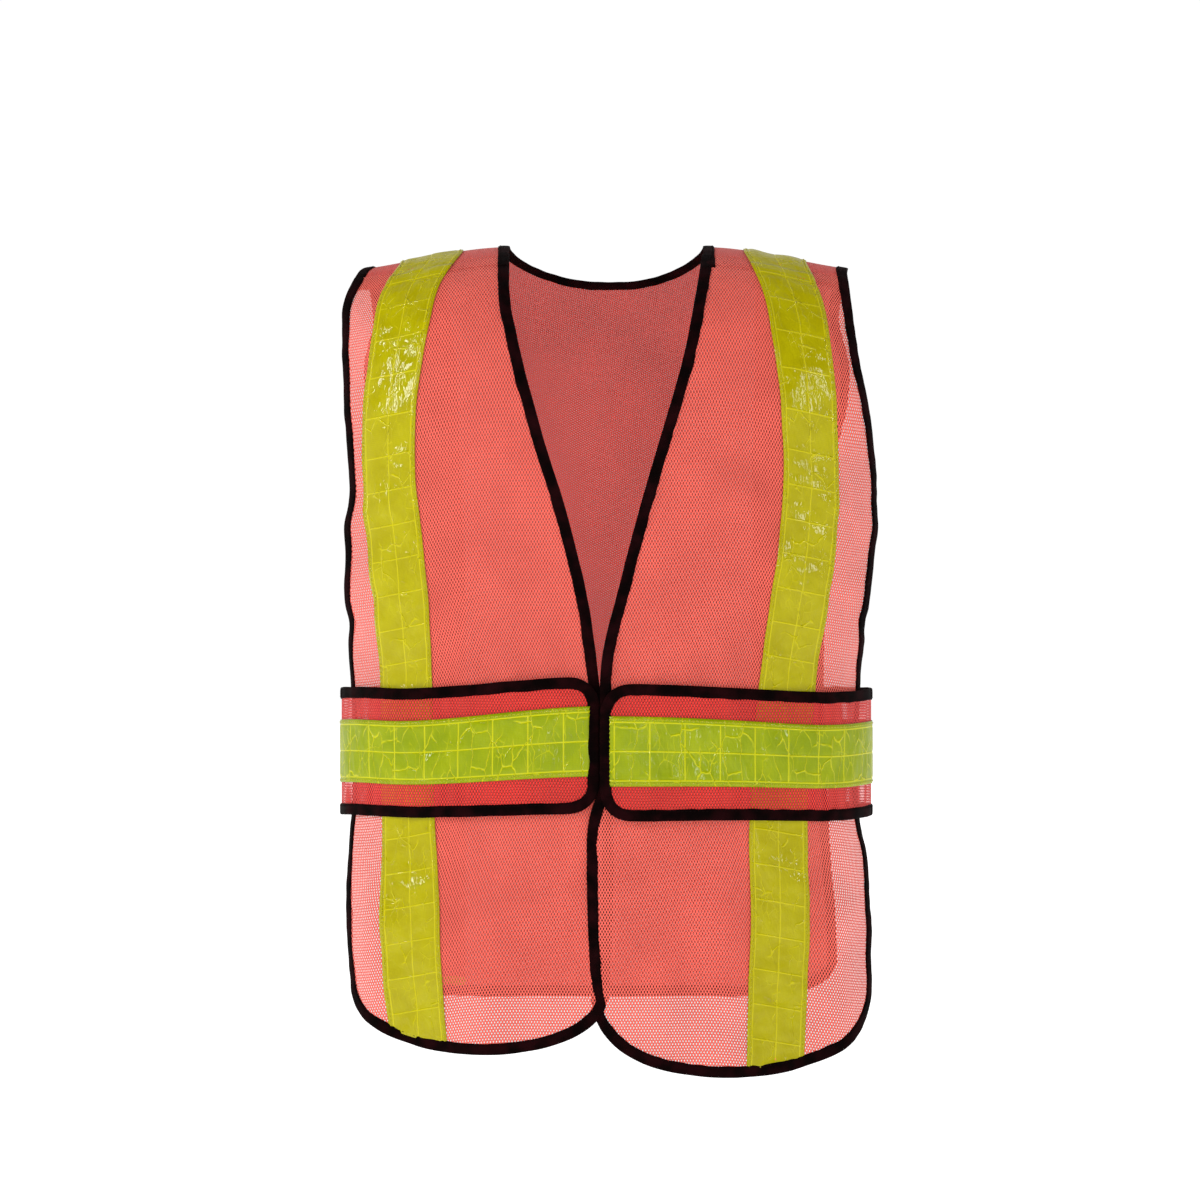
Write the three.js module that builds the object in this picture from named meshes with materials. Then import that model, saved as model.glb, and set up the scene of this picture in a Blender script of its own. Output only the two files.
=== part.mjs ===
// High visibility vest: two mesh fronts joined to a mesh back at the shoulders, bound in knit binding,
// with reflective tapes and a waist belt. Millimetres, Z up, the front faces -Y.
// The origin is midway between the two neck-shoulder points, at the top of the shoulder line.
import * as THREE from 'three';

// ---------------------------------------------------------------- driving sizes (mm)
const HALF_WIDTH = 228;          // half width of the body the panels hang round
const BELT_HALF_WIDTH = 211.6;   // the same at the waist, where the belt draws it in
const FRONT_DEPTH = 122;         // centre front from the shoulder line
const BACK_DEPTH = 118;          // centre back from the shoulder line
const SECTION_POWER = 2.6;       // roundness of the body section
const FRONT_ROLL = 150;          // drop over which the front rolls off the shoulder
const BACK_ROLL = 120;           // drop over which the back rolls off the shoulder
const NECK_HALF = 79;            // neck-shoulder points, from the centre
const NECK_DROP_BACK = 25;       // dip of the back neck
const SHOULDER_DROP = 20;        // outer shoulder below the neck-shoulder point
const SEAM_ROLL = 0.27;          // shoulder seam, as a share of the front roll
const SEAM_GAP = 0.012;          // half of the split at the seam, as a share of the roll
const SEAM_STRIP = 0.055;        // half width of the seam strip, as a share of the roll
const HEM_BACK = -618;           // back hem height
const HEM_RISE_BACK = 34;        // rounding of the back hem corners
const TAPE_WIDTH = 50.8;         // reflective tape
const BELT_HEIGHT = 103;         // belt between its outer edges
const BELT_MID = -411;           // belt middle height at the sides
const BELT_CORNER = 24;          // rounded corners of the belt ends
const BELT_MEET = -5.5;          // where the two belt ends meet
const FABRIC = 0.8;              // mesh fabric
const GAP = 0.3;                 // clearance between flat neighbours
const LAY = 0.9;                 // clearance between layers that follow the body
const CLASP = 0.9;               // clearance inside the fold of the binding
const TAPE = 0.5;                // reflective tape thickness
const FOLD = 0.6;                // one leg of the folded binding
const BINDING = 9;               // binding width
const PATCH = 0.8;               // hook or loop patch
const EDGE_INSET = 1.6;          // fabric edge inside the fold of the binding
const PATCH_W = 26;              // belt patch width
const PATCH_H = 40;              // belt patch height
const TAB_FROM = -34;            // closure tab, sewn end
const TAB_TO = 24;               // closure tab, free end
const TAB_CLIMB = 1.1;           // its rise over the binding of the right front

const BELT_OFF = 5.3;            // belt mesh over the base surface
const TAPE_OFF = FABRIC + LAY;   // tape over its own fabric
const LIFT = 5.4;                // the wearer's left front lies over the right one
const LIFT_FULL = 30;            // full lift up to this distance from the centre
const LIFT_END = 68;             // no lift beyond this distance

// outer edge of each front: height, distance from the centre
const SIDE_RIGHT = [[-16, 199], [-70, 214], [-190, 209], [-360, 206], [-465, 206], [-540, 210], [-620, 207]];
const SIDE_LEFT = [[-18, 195], [-80, 202], [-185, 218], [-350, 206], [-465, 205], [-550, 217], [-620, 214]];
const SIDE_BACK = [[-18, 197], [-90, 199], [-190, 186], [-600, 186]];
// neck and front edge of each front: height, signed position across
const FRONT_EDGE_RIGHT = [[0, -79], [-50, -77], [-150, -53], [-250, -26], [-360, -6], [-470, 5], [-600, 2]];
const FRONT_EDGE_LEFT = [[0, 79], [-50, 71], [-150, 45], [-250, 20], [-340, -4.4], [-400, -4.4], [-450, -4.4],
  [-475, -15.5], [-600, -12]];
// tape middle line: height, distance from the centre
const TAPE_RIGHT = [[-10, 146], [-70, 165], [-155, 173], [-230, 172], [-300, 163], [-650, 151]];
const TAPE_LEFT = [[-10, 140], [-85, 156], [-180, 164], [-240, 161], [-360, 144], [-670, 135]];
const TAPE_BACK = [[-10, 143], [-150, 146], [-640, 140]];
// hem of each front: height of its corners, depth below them, roundness
const HEM_RIGHT = { corner: -597, drop: 53, power: 2.2 };
const HEM_LEFT = { corner: -600, drop: 68, power: 2.3 };

const COLOURS = {
  mesh: [0xe8604e, 0.75],
  binding: [0x141012, 0.85],
  tape: [0xb8b400, 0.3],
  patch: [0x1b1a1c, 0.95],
};

// ---------------------------------------------------------------- helpers
const clamp = THREE.MathUtils.clamp;
const lerp = THREE.MathUtils.lerp;

// smooth curve through [height, value] stations, listed from the top down
function along(stations, z) {
  const n = stations.length;
  if (z >= stations[0][0]) return stations[0][1];
  if (z <= stations[n - 1][0]) return stations[n - 1][1];
  let k = 0;
  while (z < stations[k + 1][0]) k += 1;
  const [z0, a] = stations[k];
  const [z1, b] = stations[k + 1];
  const t = (z - z0) / (z1 - z0);
  const before = stations[Math.max(k - 1, 0)];
  const after = stations[Math.min(k + 2, n - 1)];
  const m0 = ((b - before[1]) / (z1 - before[0])) * (z1 - z0);
  const m1 = ((after[1] - a) / (after[0] - z0)) * (z1 - z0);
  const t2 = t * t;
  const t3 = t2 * t;
  return (2 * t3 - 3 * t2 + 1) * a + (t3 - 2 * t2 + t) * m0 + (3 * t2 - 2 * t3) * b + (t3 - t2) * m1;
}

const smooth = (t) => {
  const c = clamp(t, 0, 1);
  return c * c * (3 - 2 * c);
};

// half width of the body at a height: drawn in at the belt
function halfWidth(z) {
  const away = Math.abs(z - BELT_MID);
  const free = smooth((away - BELT_HEIGHT / 2 - 4) / 90);
  return lerp(BELT_HALF_WIDTH, HALF_WIDTH, free);
}

const ridge = (x) => -SHOULDER_DROP * smooth((Math.abs(x) - NECK_HALF) / 150);

// depth of the body section at a place across, as a share of the centre depth
function section(x, z) {
  const share = Math.min(Math.abs(x) / halfWidth(z), 1);
  return Math.sqrt(Math.max(1 - share ** SECTION_POWER, 0));
}

// height on the surface: v < 0 runs down the front, v > 0 down the back, 1 = end of the roll
function heightAt(x, v) {
  const roll = v < 0 ? FRONT_ROLL : BACK_ROLL;
  const a = Math.abs(v);
  if (a < 1) return ridge(x) - roll * (1 - Math.cos((a * Math.PI) / 2));
  return ridge(x) - roll - (a - 1) * 100;
}

function rollAt(x, z, side) {
  const roll = side < 0 ? FRONT_ROLL : BACK_ROLL;
  const drop = ridge(x) - z;
  if (drop < roll) return (side * Math.acos(clamp(1 - drop / roll, -1, 1)) * 2) / Math.PI;
  return side * (1 + (drop - roll) / 100);
}

// point of the base surface
function base(x, v) {
  const z = heightAt(x, v);
  const depth = v < 0 ? -FRONT_DEPTH : BACK_DEPTH;
  const out = Math.abs(v) < 1 ? Math.sin((Math.abs(v) * Math.PI) / 2) : 1;
  return new THREE.Vector3(x, depth * out * section(x, z), z);
}

// how far out a point lies of the body section at its height
function outside(x, y, z) {
  const depth = y < 0 ? FRONT_DEPTH : BACK_DEPTH;
  return (Math.abs(x) / halfWidth(z)) ** SECTION_POWER + (y / depth) ** 2;
}

// outward normal of the base surface
function normalAt(x, v) {
  const p = base(x, v);
  const e = 0.3;
  if (Math.abs(v) >= 1) {
    const nx = outside(p.x + e, p.y, p.z) - outside(p.x - e, p.y, p.z);
    const ny = outside(p.x, p.y + e, p.z) - outside(p.x, p.y - e, p.z);
    const nz = outside(p.x, p.y, p.z + e) - outside(p.x, p.y, p.z - e);
    return new THREE.Vector3(nx, ny, nz).normalize();
  }
  const du = base(x + e, v).sub(base(x - e, v));
  const dv = base(x, v + 0.004).sub(base(x, v - 0.004));
  return new THREE.Vector3().crossVectors(du, dv).normalize();
}

function lifted(x, v, off) {
  return base(x, v).addScaledVector(normalAt(x, v), off);
}

// lift of the wearer's left front where it crosses the right one
const liftAt = (x) => LIFT * (1 - smooth((x - LIFT_FULL) / (LIFT_END - LIFT_FULL)));

function mesh(name, positions, faces, kind) {
  const geometry = new THREE.BufferGeometry();
  geometry.setAttribute('position', new THREE.Float32BufferAttribute(positions, 3));
  geometry.setIndex(faces);
  geometry.computeVertexNormals();
  const [color, roughness] = COLOURS[kind];
  const material = new THREE.MeshStandardMaterial({ color, roughness, metalness: 0 });
  material.name = kind;
  const out = new THREE.Mesh(geometry, material);
  out.name = name;
  return out;
}

// a closed sheet over lattice cells; point(i, j, off) gives the place at a height over the base
function sheet(name, cells, point, off, thick, kind) {
  const index = new Map();
  const positions = [];
  const faces = [];
  const edges = new Map();
  const at = (i, j, top) => {
    const key = `${i},${j},${top}`;
    if (!index.has(key)) {
      index.set(key, positions.length / 3);
      const p = point(i, j, top ? off + thick : off);
      positions.push(p.x, p.y, p.z);
    }
    return index.get(key);
  };
  const touch = (a, b) => {
    const back = `${b}|${a}`;
    if (edges.has(back)) edges.delete(back);
    else edges.set(`${a}|${b}`, [a, b]);
  };
  for (const [i, j] of cells) {
    const ring = [[i, j], [i + 1, j], [i + 1, j + 1], [i, j + 1]];
    const top = ring.map(([a, b]) => at(a, b, 1));
    const low = ring.map(([a, b]) => at(a, b, 0));
    faces.push(top[0], top[1], top[2], top[0], top[2], top[3]);
    faces.push(low[0], low[2], low[1], low[0], low[3], low[2]);
    for (let k = 0; k < 4; k += 1) touch(ring[k].join(','), ring[(k + 1) % 4].join(','));
  }
  for (const [a, b] of edges.values()) {
    const [ai, aj] = a.split(',').map(Number);
    const [bi, bj] = b.split(',').map(Number);
    const quad = [at(ai, aj, 1), at(bi, bj, 1), at(bi, bj, 0), at(ai, aj, 0)];
    faces.push(quad[0], quad[2], quad[1], quad[0], quad[3], quad[2]);
  }
  return mesh(name, positions, facing(positions, faces), kind);
}

// turns the faces over when they point inward
function facing(positions, faces) {
  let volume = 0;
  const p = (k) => new THREE.Vector3(positions[3 * k], positions[3 * k + 1], positions[3 * k + 2]);
  for (let k = 0; k < faces.length; k += 3) {
    volume += p(faces[k]).dot(p(faces[k + 1]).cross(p(faces[k + 2])));
  }
  if (volume > 0) return faces;
  const turned = [];
  for (let k = 0; k < faces.length; k += 3) turned.push(faces[k], faces[k + 2], faces[k + 1]);
  return turned;
}

function grid(rows, cols) {
  const cells = [];
  for (let i = 0; i < rows; i += 1) {
    for (let j = 0; j < cols; j += 1) cells.push([i, j]);
  }
  return cells;
}

// folded binding swept along an edge: stops hold the edge point, the outward normal and the way in
function binding(name, stops, off, kind = 'binding') {
  const lower = off - CLASP - FOLD;
  const upper = off + FABRIC + CLASP + FOLD;
  const profile = [[0, lower], [BINDING, lower], [BINDING, lower + FOLD], [FOLD, lower + FOLD],
    [FOLD, upper - FOLD], [BINDING, upper - FOLD], [BINDING, upper], [0, upper]];
  const positions = [];
  const faces = [];
  const n = profile.length;
  for (const { point, normal, inward } of stops) {
    for (const [a, b] of profile) {
      const p = point.clone().addScaledVector(inward, a).addScaledVector(normal, b);
      positions.push(p.x, p.y, p.z);
    }
  }
  for (let s = 0; s + 1 < stops.length; s += 1) {
    for (let k = 0; k < n; k += 1) {
      const a = s * n + k;
      const b = s * n + ((k + 1) % n);
      faces.push(a, b, b + n, a, b + n, a + n);
    }
  }
  const cap = [[0, 1, 2], [0, 2, 3], [0, 3, 4], [0, 4, 7], [4, 5, 6], [4, 6, 7]];
  const last = (stops.length - 1) * n;
  for (const [a, b, c] of cap) {
    faces.push(a, c, b);
    faces.push(last + a, last + b, last + c);
  }
  return mesh(name, positions, facing(positions, faces), kind);
}

// edge stops from surface places [x, v]; the way in points to the middle place, or away from it
function stopsAlong(places, surface, middle, away = 1) {
  const points = places.map(([x, v]) => surface(x, v));
  const stops = places.map(([x, v], k) => {
    const a = points[Math.max(k - 1, 0)];
    const b = points[Math.min(k + 1, points.length - 1)];
    const tangent = new THREE.Vector3().subVectors(b, a).normalize();
    const normal = normalAt(x, v);
    const inward = new THREE.Vector3().crossVectors(normal, tangent).normalize();
    return { point: points[k], normal, inward, side: Math.sign(v) };
  });
  const toward = stops.reduce((sum, s) => sum + s.inward.dot(middle.clone().sub(s.point)), 0);
  if (toward * away < 0) stops.forEach((s) => s.inward.negate());
  stops.forEach((s) => {
    const reach = s.point.clone().addScaledVector(s.inward, BINDING);
    const roll = rollAt(reach.x, reach.z, s.side);
    if (Math.abs(roll) < 0.5) return;
    s.inward.subVectors(surface(reach.x, roll), s.point).normalize();
  });
  return stops;
}

// share 0..1 spaced closer at both ends
const eased = (k, n) => (1 - Math.cos((Math.PI * k) / n)) / 2;

const ROWS = 18;                 // rows of every piece that hangs from a shoulder
const ROLL_ROWS = 8;             // of them over the roll of the shoulder
const END_ROWS = 4;              // of them spread down to the hem
const HEM_ROLL = 4.6;            // where the last rows begin
const COLS = 12;                 // columns of a front

// every piece on one side shares these rows, so that its layers nest
function rowAt(k, start, end) {
  const side = Math.sign(end);
  const last = ROWS - END_ROWS;
  if (k <= ROLL_ROWS) return lerp(start, side, (k / ROLL_ROWS) ** 1.4);
  if (k <= last) return side * lerp(1, HEM_ROLL, (k - ROLL_ROWS) / (last - ROLL_ROWS));
  return lerp(side * HEM_ROLL, end, (k - last) / END_ROWS);
}

// ---------------------------------------------------------------- fronts
const SIDES = {
  right: { sign: -1, edge: FRONT_EDGE_RIGHT, side: SIDE_RIGHT, hem: HEM_RIGHT, tape: TAPE_RIGHT },
  left: { sign: 1, edge: FRONT_EDGE_LEFT, side: SIDE_LEFT, hem: HEM_LEFT, tape: TAPE_LEFT },
};

const frontLift = (which, x) => (which === 'left' ? liftAt(x) : 0);

function frontSurface(which, x, v, off) {
  return lifted(x, v, off + frontLift(which, x));
}

// height of the hem of a front at a place across
function hemAt(which, x, inset) {
  const s = SIDES[which];
  const inner = along(s.edge, s.hem.corner) + s.sign * inset;
  const outer = s.sign * (along(s.side, s.hem.corner) - inset);
  const share = Math.min(Math.abs((2 * x - inner - outer) / (outer - inner)), 1);
  return s.hem.corner - (s.hem.drop - inset) * (1 - share ** s.hem.power) ** (1 / s.hem.power);
}

// place on a front: row from the seam to the hem, across 0..1 from the front edge to the side
function frontPlace(which, row, across, inset) {
  const s = SIDES[which];
  let x = s.sign * 120;
  let v = -1;
  for (let k = 0; k < 12; k += 1) {
    v = rowAt(row, -(SEAM_ROLL + SEAM_GAP), rollAt(x, hemAt(which, x, inset), -1));
    const z = heightAt(x, v);
    x = lerp(along(s.edge, z) + s.sign * inset, s.sign * (along(s.side, z) - inset), across);
  }
  return [x, v];
}

function frontPanel(which) {
  const point = (i, j, off) => {
    const [x, v] = frontPlace(which, i, eased(j, COLS), EDGE_INSET);
    return frontSurface(which, x, v, off);
  };
  return sheet(`front_panel_${which}`, grid(ROWS, COLS), point, 0, FABRIC, 'mesh');
}

function frontBinding(which) {
  const places = [];
  for (let k = 0; k <= ROWS; k += 1) places.push(frontPlace(which, k, 0, 0));
  for (let k = 1; k < COLS; k += 1) places.push(frontPlace(which, ROWS, eased(k, COLS), 0));
  for (let k = ROWS; k >= 0; k -= 1) places.push(frontPlace(which, k, 1, 0));
  const surface = (x, v) => frontSurface(which, x, v, 0);
  const middle = new THREE.Vector3(SIDES[which].sign * 110, -FRONT_DEPTH, BELT_MID);
  return binding(`front_binding_${which}`, stopsAlong(places, surface, middle), 0);
}

// tape places: a strip of even width measured on the cloth
function tapePlace(line, sign, v, across) {
  let x = sign * 150;
  for (let k = 0; k < 6; k += 1) x = sign * along(line, heightAt(x, v));
  const slope = base(x + 1, v).sub(base(x - 1, v)).length() / 2;
  return x + (across * TAPE_WIDTH) / 2 / slope;
}

function frontTape(which) {
  const s = SIDES[which];
  const point = (i, j, off) => {
    let x = s.sign * 150;
    let v = -1;
    for (let k = 0; k < 6; k += 1) {
      const low = rollAt(x, hemAt(which, x, BINDING + 3), -1);
      v = rowAt(i, -(SEAM_ROLL + SEAM_GAP), low);
      x = tapePlace(s.tape, s.sign, v, j / 2 - 1);
    }
    return frontSurface(which, x, v, off);
  };
  return sheet(`front_tape_${which}`, grid(ROWS, 4), point, TAPE_OFF, TAPE, 'tape');
}

// a flat patch laid on the front between two places across, centred on the belt
function patch(name, which, from, to, height, off, thick) {
  const cols = 4;
  const point = (i, j, o) => {
    const x = lerp(from, to, j / cols);
    const z = BELT_MID + 3 + height * (0.5 - i);
    return frontSurface(which, x, rollAt(x, z, -1), o);
  };
  return sheet(name, grid(1, cols), point, off, thick, 'patch');
}

// the closure tab climbs from the fabric over the binding of the right front edge
function closureTab() {
  const stations = [TAB_FROM, -27, -20, -16, -12, -4, 6, 15, TAB_TO];
  const point = (i, j, off) => {
    const x = stations[j];
    const z = BELT_MID + 3 + PATCH_H * (0.5 - i);
    const climb = TAB_CLIMB * smooth((x + 20) / 8);
    return lifted(x, rollAt(x, z, -1), off + climb);
  };
  return sheet('closure_tab', grid(1, stations.length - 1), point, TAPE_OFF, PATCH, 'patch');
}

// ---------------------------------------------------------------- back
const BACK_SHARES = [0, 0.13, 0.24, 0.32, 0.37, 0.393, 0.401, 0.5, 0.6, 0.7, 0.79, 0.87, 0.94, 1];
const NECK_COLUMN = 6;
const RIDGE_STEP = 0.03;
const FLAP_ROWS = 4;

// top of the back body: the neck line, then just behind the shoulder line
function backTop(x, inset) {
  const reach = NECK_HALF + inset;
  const dip = (Math.acos(1 - NECK_DROP_BACK / BACK_ROLL) * 2) / Math.PI + inset * 0.006;
  const share = Math.min(Math.abs(x) / reach, 1);
  return RIDGE_STEP + (dip - RIDGE_STEP) * (1 - share ** 2.3) ** (1 / 2.3);
}

function backBottom(x, inset) {
  const reach = along(SIDE_BACK, HEM_BACK) - inset;
  const share = Math.min(Math.abs(x) / reach, 1);
  const bow = (1 - share ** 7) ** (1 / 2.4);
  const z = HEM_BACK + HEM_RISE_BACK - (HEM_RISE_BACK - inset) * bow;
  return rollAt(x, z, 1);
}

// place on the back: share -1..1 across; rows below 0 are the flap over the shoulder
function backPlace(share, row, inset) {
  const sign = Math.sign(share) || 1;
  const start = -(SEAM_ROLL - SEAM_GAP);
  let x = share * 190;
  let v = 0;
  for (let k = 0; k < 12; k += 1) {
    if (row < 0) v = lerp(RIDGE_STEP, start, -row / FLAP_ROWS);
    else v = rowAt(row, backTop(x, inset), backBottom(x, inset));
    const reach = along(SIDE_BACK, heightAt(x, v)) - inset;
    const shareNeck = BACK_SHARES[NECK_COLUMN];
    const a = Math.abs(share);
    const near = 1 - smooth(Math.max(row, 0) / (ROLL_ROWS + 2));
    const plain = a * reach;
    const neck = NECK_HALF + inset;
    const fitted = a < shareNeck ? (a / shareNeck) * neck
      : lerp(neck, reach, (a - shareNeck) / (1 - shareNeck));
    x = sign * lerp(plain, fitted, near);
  }
  return [share === 0 ? 0 : x, v];
}

function backPanel() {
  const half = BACK_SHARES.length - 1;
  const share = (j) => (j < 0 ? -BACK_SHARES[-j] : BACK_SHARES[j]);
  const cells = [];
  for (let j = -half; j < half; j += 1) {
    for (let i = 0; i < ROWS; i += 1) cells.push([i, j]);
    const outside = j >= NECK_COLUMN || j < -NECK_COLUMN;
    if (outside) for (let i = -FLAP_ROWS; i < 0; i += 1) cells.push([i, j]);
  }
  const point = (i, j, off) => {
    const [x, v] = backPlace(share(j), i, EDGE_INSET);
    return lifted(x, v, off);
  };
  return sheet('back_panel', cells, point, 0, FABRIC, 'mesh');
}

function backNeckBinding() {
  const places = [];
  const neck = BACK_SHARES[NECK_COLUMN];
  for (let k = FLAP_ROWS; k > 0; k -= 1) places.push(backPlace(-neck, -k, 0));
  for (let k = 0; k <= 24; k += 1) places.push(backPlace(-neck + 2 * neck * eased(k, 24), 0, 0));
  for (let k = 1; k <= FLAP_ROWS; k += 1) places.push(backPlace(neck, -k, 0));
  const middle = new THREE.Vector3(0, BACK_DEPTH / 4, 0);
  return binding('back_neck_binding', stopsAlong(places, base, middle, -1), 0);
}

function backEdgeBinding() {
  const places = [];
  for (let k = -FLAP_ROWS; k <= ROWS; k += 1) places.push(backPlace(-1, k, 0));
  for (let k = 1; k < 24; k += 1) places.push(backPlace(-1 + 2 * eased(k, 24), ROWS, 0));
  for (let k = ROWS; k >= -FLAP_ROWS; k -= 1) places.push(backPlace(1, k, 0));
  const middle = new THREE.Vector3(0, BACK_DEPTH, BELT_MID);
  return binding('back_edge_binding', stopsAlong(places, base, middle), 0);
}

function backTape(which) {
  const { sign } = SIDES[which];
  const start = -(SEAM_ROLL - SEAM_GAP);
  const point = (i, j, off) => {
    const row = i - FLAP_ROWS;
    let x = sign * 143;
    let v = 1;
    for (let k = 0; k < 6; k += 1) {
      if (row < 0) v = lerp(RIDGE_STEP, start, -row / FLAP_ROWS);
      else v = rowAt(row, RIDGE_STEP, backBottom(x, BINDING + 3));
      x = tapePlace(TAPE_BACK, sign, v, j / 2 - 1);
    }
    return lifted(x, v, off);
  };
  const cells = grid(FLAP_ROWS + ROWS, 4);
  return sheet(`back_tape_${which}`, cells, point, TAPE_OFF, TAPE, 'tape');
}

// strip sewn under the shoulder seam, bridging the front and the back
function seamStrip(which) {
  const sign = SIDES[which].sign;
  const inner = NECK_HALF + BINDING + 4;
  const outer = along(SIDE_BACK, -30) - BINDING - 4;
  const point = (i, j, off) => {
    const v = -(SEAM_ROLL + SEAM_STRIP * (i - 1));
    return lifted(sign * lerp(inner, outer, j / 8), v, off);
  };
  return sheet(`shoulder_seam_${which}`, grid(2, 8), point, -LAY - FOLD, FOLD, 'mesh');
}

// ---------------------------------------------------------------- belt
const BELT_COLS = 20;            // columns of a belt end

// height of the belt middle at a place across the front
const beltMiddle = (which, x) => {
  const near = 1 - smooth(Math.abs(x) / 190);
  return BELT_MID + (which === 'right' ? 7 : 1) * near;
};

// half height of the belt, rounded at its free end
function beltHalf(fromEnd, inset) {
  const full = BELT_HEIGHT / 2 - inset;
  const d = clamp(fromEnd - inset, 0, BELT_CORNER);
  return full - BELT_CORNER + Math.sqrt(BELT_CORNER ** 2 - (BELT_CORNER - d) ** 2);
}

// across runs from the fold (0) to the free end (1), closely spaced at both ends
function beltAcross(sign, across, inset) {
  const end = BELT_MEET + sign * (0.5 + inset);
  const from = Math.asin(clamp(end / BELT_HALF_WIDTH, -1, 1)) * sign;
  const fold = Math.PI / 2 - 0.003;
  return sign * Math.sin(lerp(fold, from, across)) * BELT_HALF_WIDTH;
}

function beltPlace(which, down, across, inset) {
  const { sign } = SIDES[which];
  const bend = across > 0.8 ? 0.8 + 0.2 * Math.sin(((across - 0.8) / 0.2) * (Math.PI / 2)) : across;
  const x = beltAcross(sign, bend, inset);
  const end = BELT_MEET + sign * 0.5;
  const half = beltHalf(Math.abs(x - end), inset);
  const z = beltMiddle(which, x) + half * (1 - 2 * down);
  return [x, z];
}

// place on the belt; the last of it, at the fold, stays clear of the back belt
function beltPoint(which, x, z, off) {
  return frontSurface(which, x, rollAt(x, z, -1), off);
}

function beltMesh(which) {
  const point = (i, j, off) => {
    const [x, z] = beltPlace(which, i / 2, j / BELT_COLS, EDGE_INSET);
    return beltPoint(which, x, z, off);
  };
  return sheet(`belt_mesh_${which}`, grid(2, BELT_COLS), point, BELT_OFF, FABRIC, 'mesh');
}

function beltBinding(which) {
  const places = [];
  const put = (down, across) => {
    const [x, z] = beltPlace(which, down, across, 0);
    places.push([x, rollAt(x, z, -1)]);
  };
  for (let k = 0; k <= BELT_COLS; k += 1) put(0, k / BELT_COLS);
  put(0.5, 1);
  for (let k = BELT_COLS; k >= 0; k -= 1) put(1, k / BELT_COLS);
  const surface = (x, v) => frontSurface(which, x, v, 0);
  const middle = new THREE.Vector3(SIDES[which].sign * 120, -FRONT_DEPTH, BELT_MID);
  return binding(`belt_binding_${which}`, stopsAlong(places, surface, middle), BELT_OFF);
}

function beltTape(which) {
  const { sign } = SIDES[which];
  const end = BELT_MEET + sign * (BINDING + 2);
  const stations = [];
  for (let k = 0; k < BELT_COLS; k += 1) {
    const [x] = beltPlace(which, 0.5, k / BELT_COLS, EDGE_INSET);
    if ((x - end) * sign > 4) stations.push(x);
  }
  stations.push(end);
  const point = (i, j, off) => {
    const x = stations[j];
    const z = beltMiddle(which, x) + TAPE_WIDTH * (0.5 - i);
    return beltPoint(which, x, z, off);
  };
  const cells = grid(1, stations.length - 1);
  return sheet(`belt_tape_${which}`, cells, point, BELT_OFF + TAPE_OFF, TAPE, 'tape');
}

function backBeltPoint(across, z, off) {
  const a = lerp(-Math.PI / 2 + 0.0034, Math.PI / 2 - 0.0034, across);
  const x = BELT_HALF_WIDTH * Math.sin(a);
  return lifted(x, rollAt(x, z, 1), off);
}

function backBeltSheet(name, height, off, thick, kind) {
  const cols = 30;
  const point = (i, j, o) => backBeltPoint(j / cols, BELT_MID + height * (0.5 - i), o);
  return sheet(name, grid(1, cols), point, off, thick, kind);
}

function backBeltBinding(name, top) {
  const places = [];
  for (let k = 0; k <= 30; k += 1) {
    const a = lerp(-Math.PI / 2 + 0.0034, Math.PI / 2 - 0.0034, k / 30);
    const x = BELT_HALF_WIDTH * Math.sin(a);
    places.push([x, rollAt(x, BELT_MID + (top * BELT_HEIGHT) / 2, 1)]);
  }
  const middle = new THREE.Vector3(0, BACK_DEPTH, BELT_MID);
  return binding(name, stopsAlong(places, base, middle), BELT_OFF);
}

// ---------------------------------------------------------------- the vest
const vest = new THREE.Group();
vest.name = 'high_visibility_vest';

function addFront(which) {
  const { sign } = SIDES[which];
  const near = sign * 70;
  vest.add(frontPanel(which));
  vest.add(frontBinding(which));
  vest.add(frontTape(which));
  vest.add(patch(`front_loop_${which}`, which, near, near + sign * PATCH_W, PATCH_H, TAPE_OFF, PATCH));
  vest.add(beltMesh(which));
  vest.add(beltBinding(which));
  vest.add(beltTape(which));
  const hookOff = TAPE_OFF + PATCH + GAP;
  const hookThick = BELT_OFF - GAP - hookOff;
  vest.add(patch(`belt_hook_${which}`, which, near, near + sign * PATCH_W, PATCH_H, hookOff, hookThick));
}

function addBack() {
  vest.add(backPanel());
  vest.add(backNeckBinding());
  vest.add(backEdgeBinding());
  for (const which of ['right', 'left']) {
    vest.add(backTape(which));
    vest.add(seamStrip(which));
  }
  vest.add(backBeltSheet('belt_mesh_back', BELT_HEIGHT - 2 * EDGE_INSET, BELT_OFF, FABRIC, 'mesh'));
  vest.add(backBeltSheet('belt_tape_back', TAPE_WIDTH, BELT_OFF + TAPE_OFF, TAPE, 'tape'));
  vest.add(backBeltBinding('belt_binding_back_top', 1));
  vest.add(backBeltBinding('belt_binding_back_low', -1));
}

function addClosure() {
  vest.add(closureTab());
  const off = TAPE_OFF + TAB_CLIMB + PATCH + GAP - LIFT;
  vest.add(patch('closure_hook', 'left', 6.5, TAB_TO, PATCH_H, off, -GAP - off));
}

addBack();
addFront('right');
addFront('left');
addClosure();

export default vest;
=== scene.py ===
"""High visibility vest: open mesh panels, knit binding, reflective tapes and a wrap-round belt."""

import math

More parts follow.
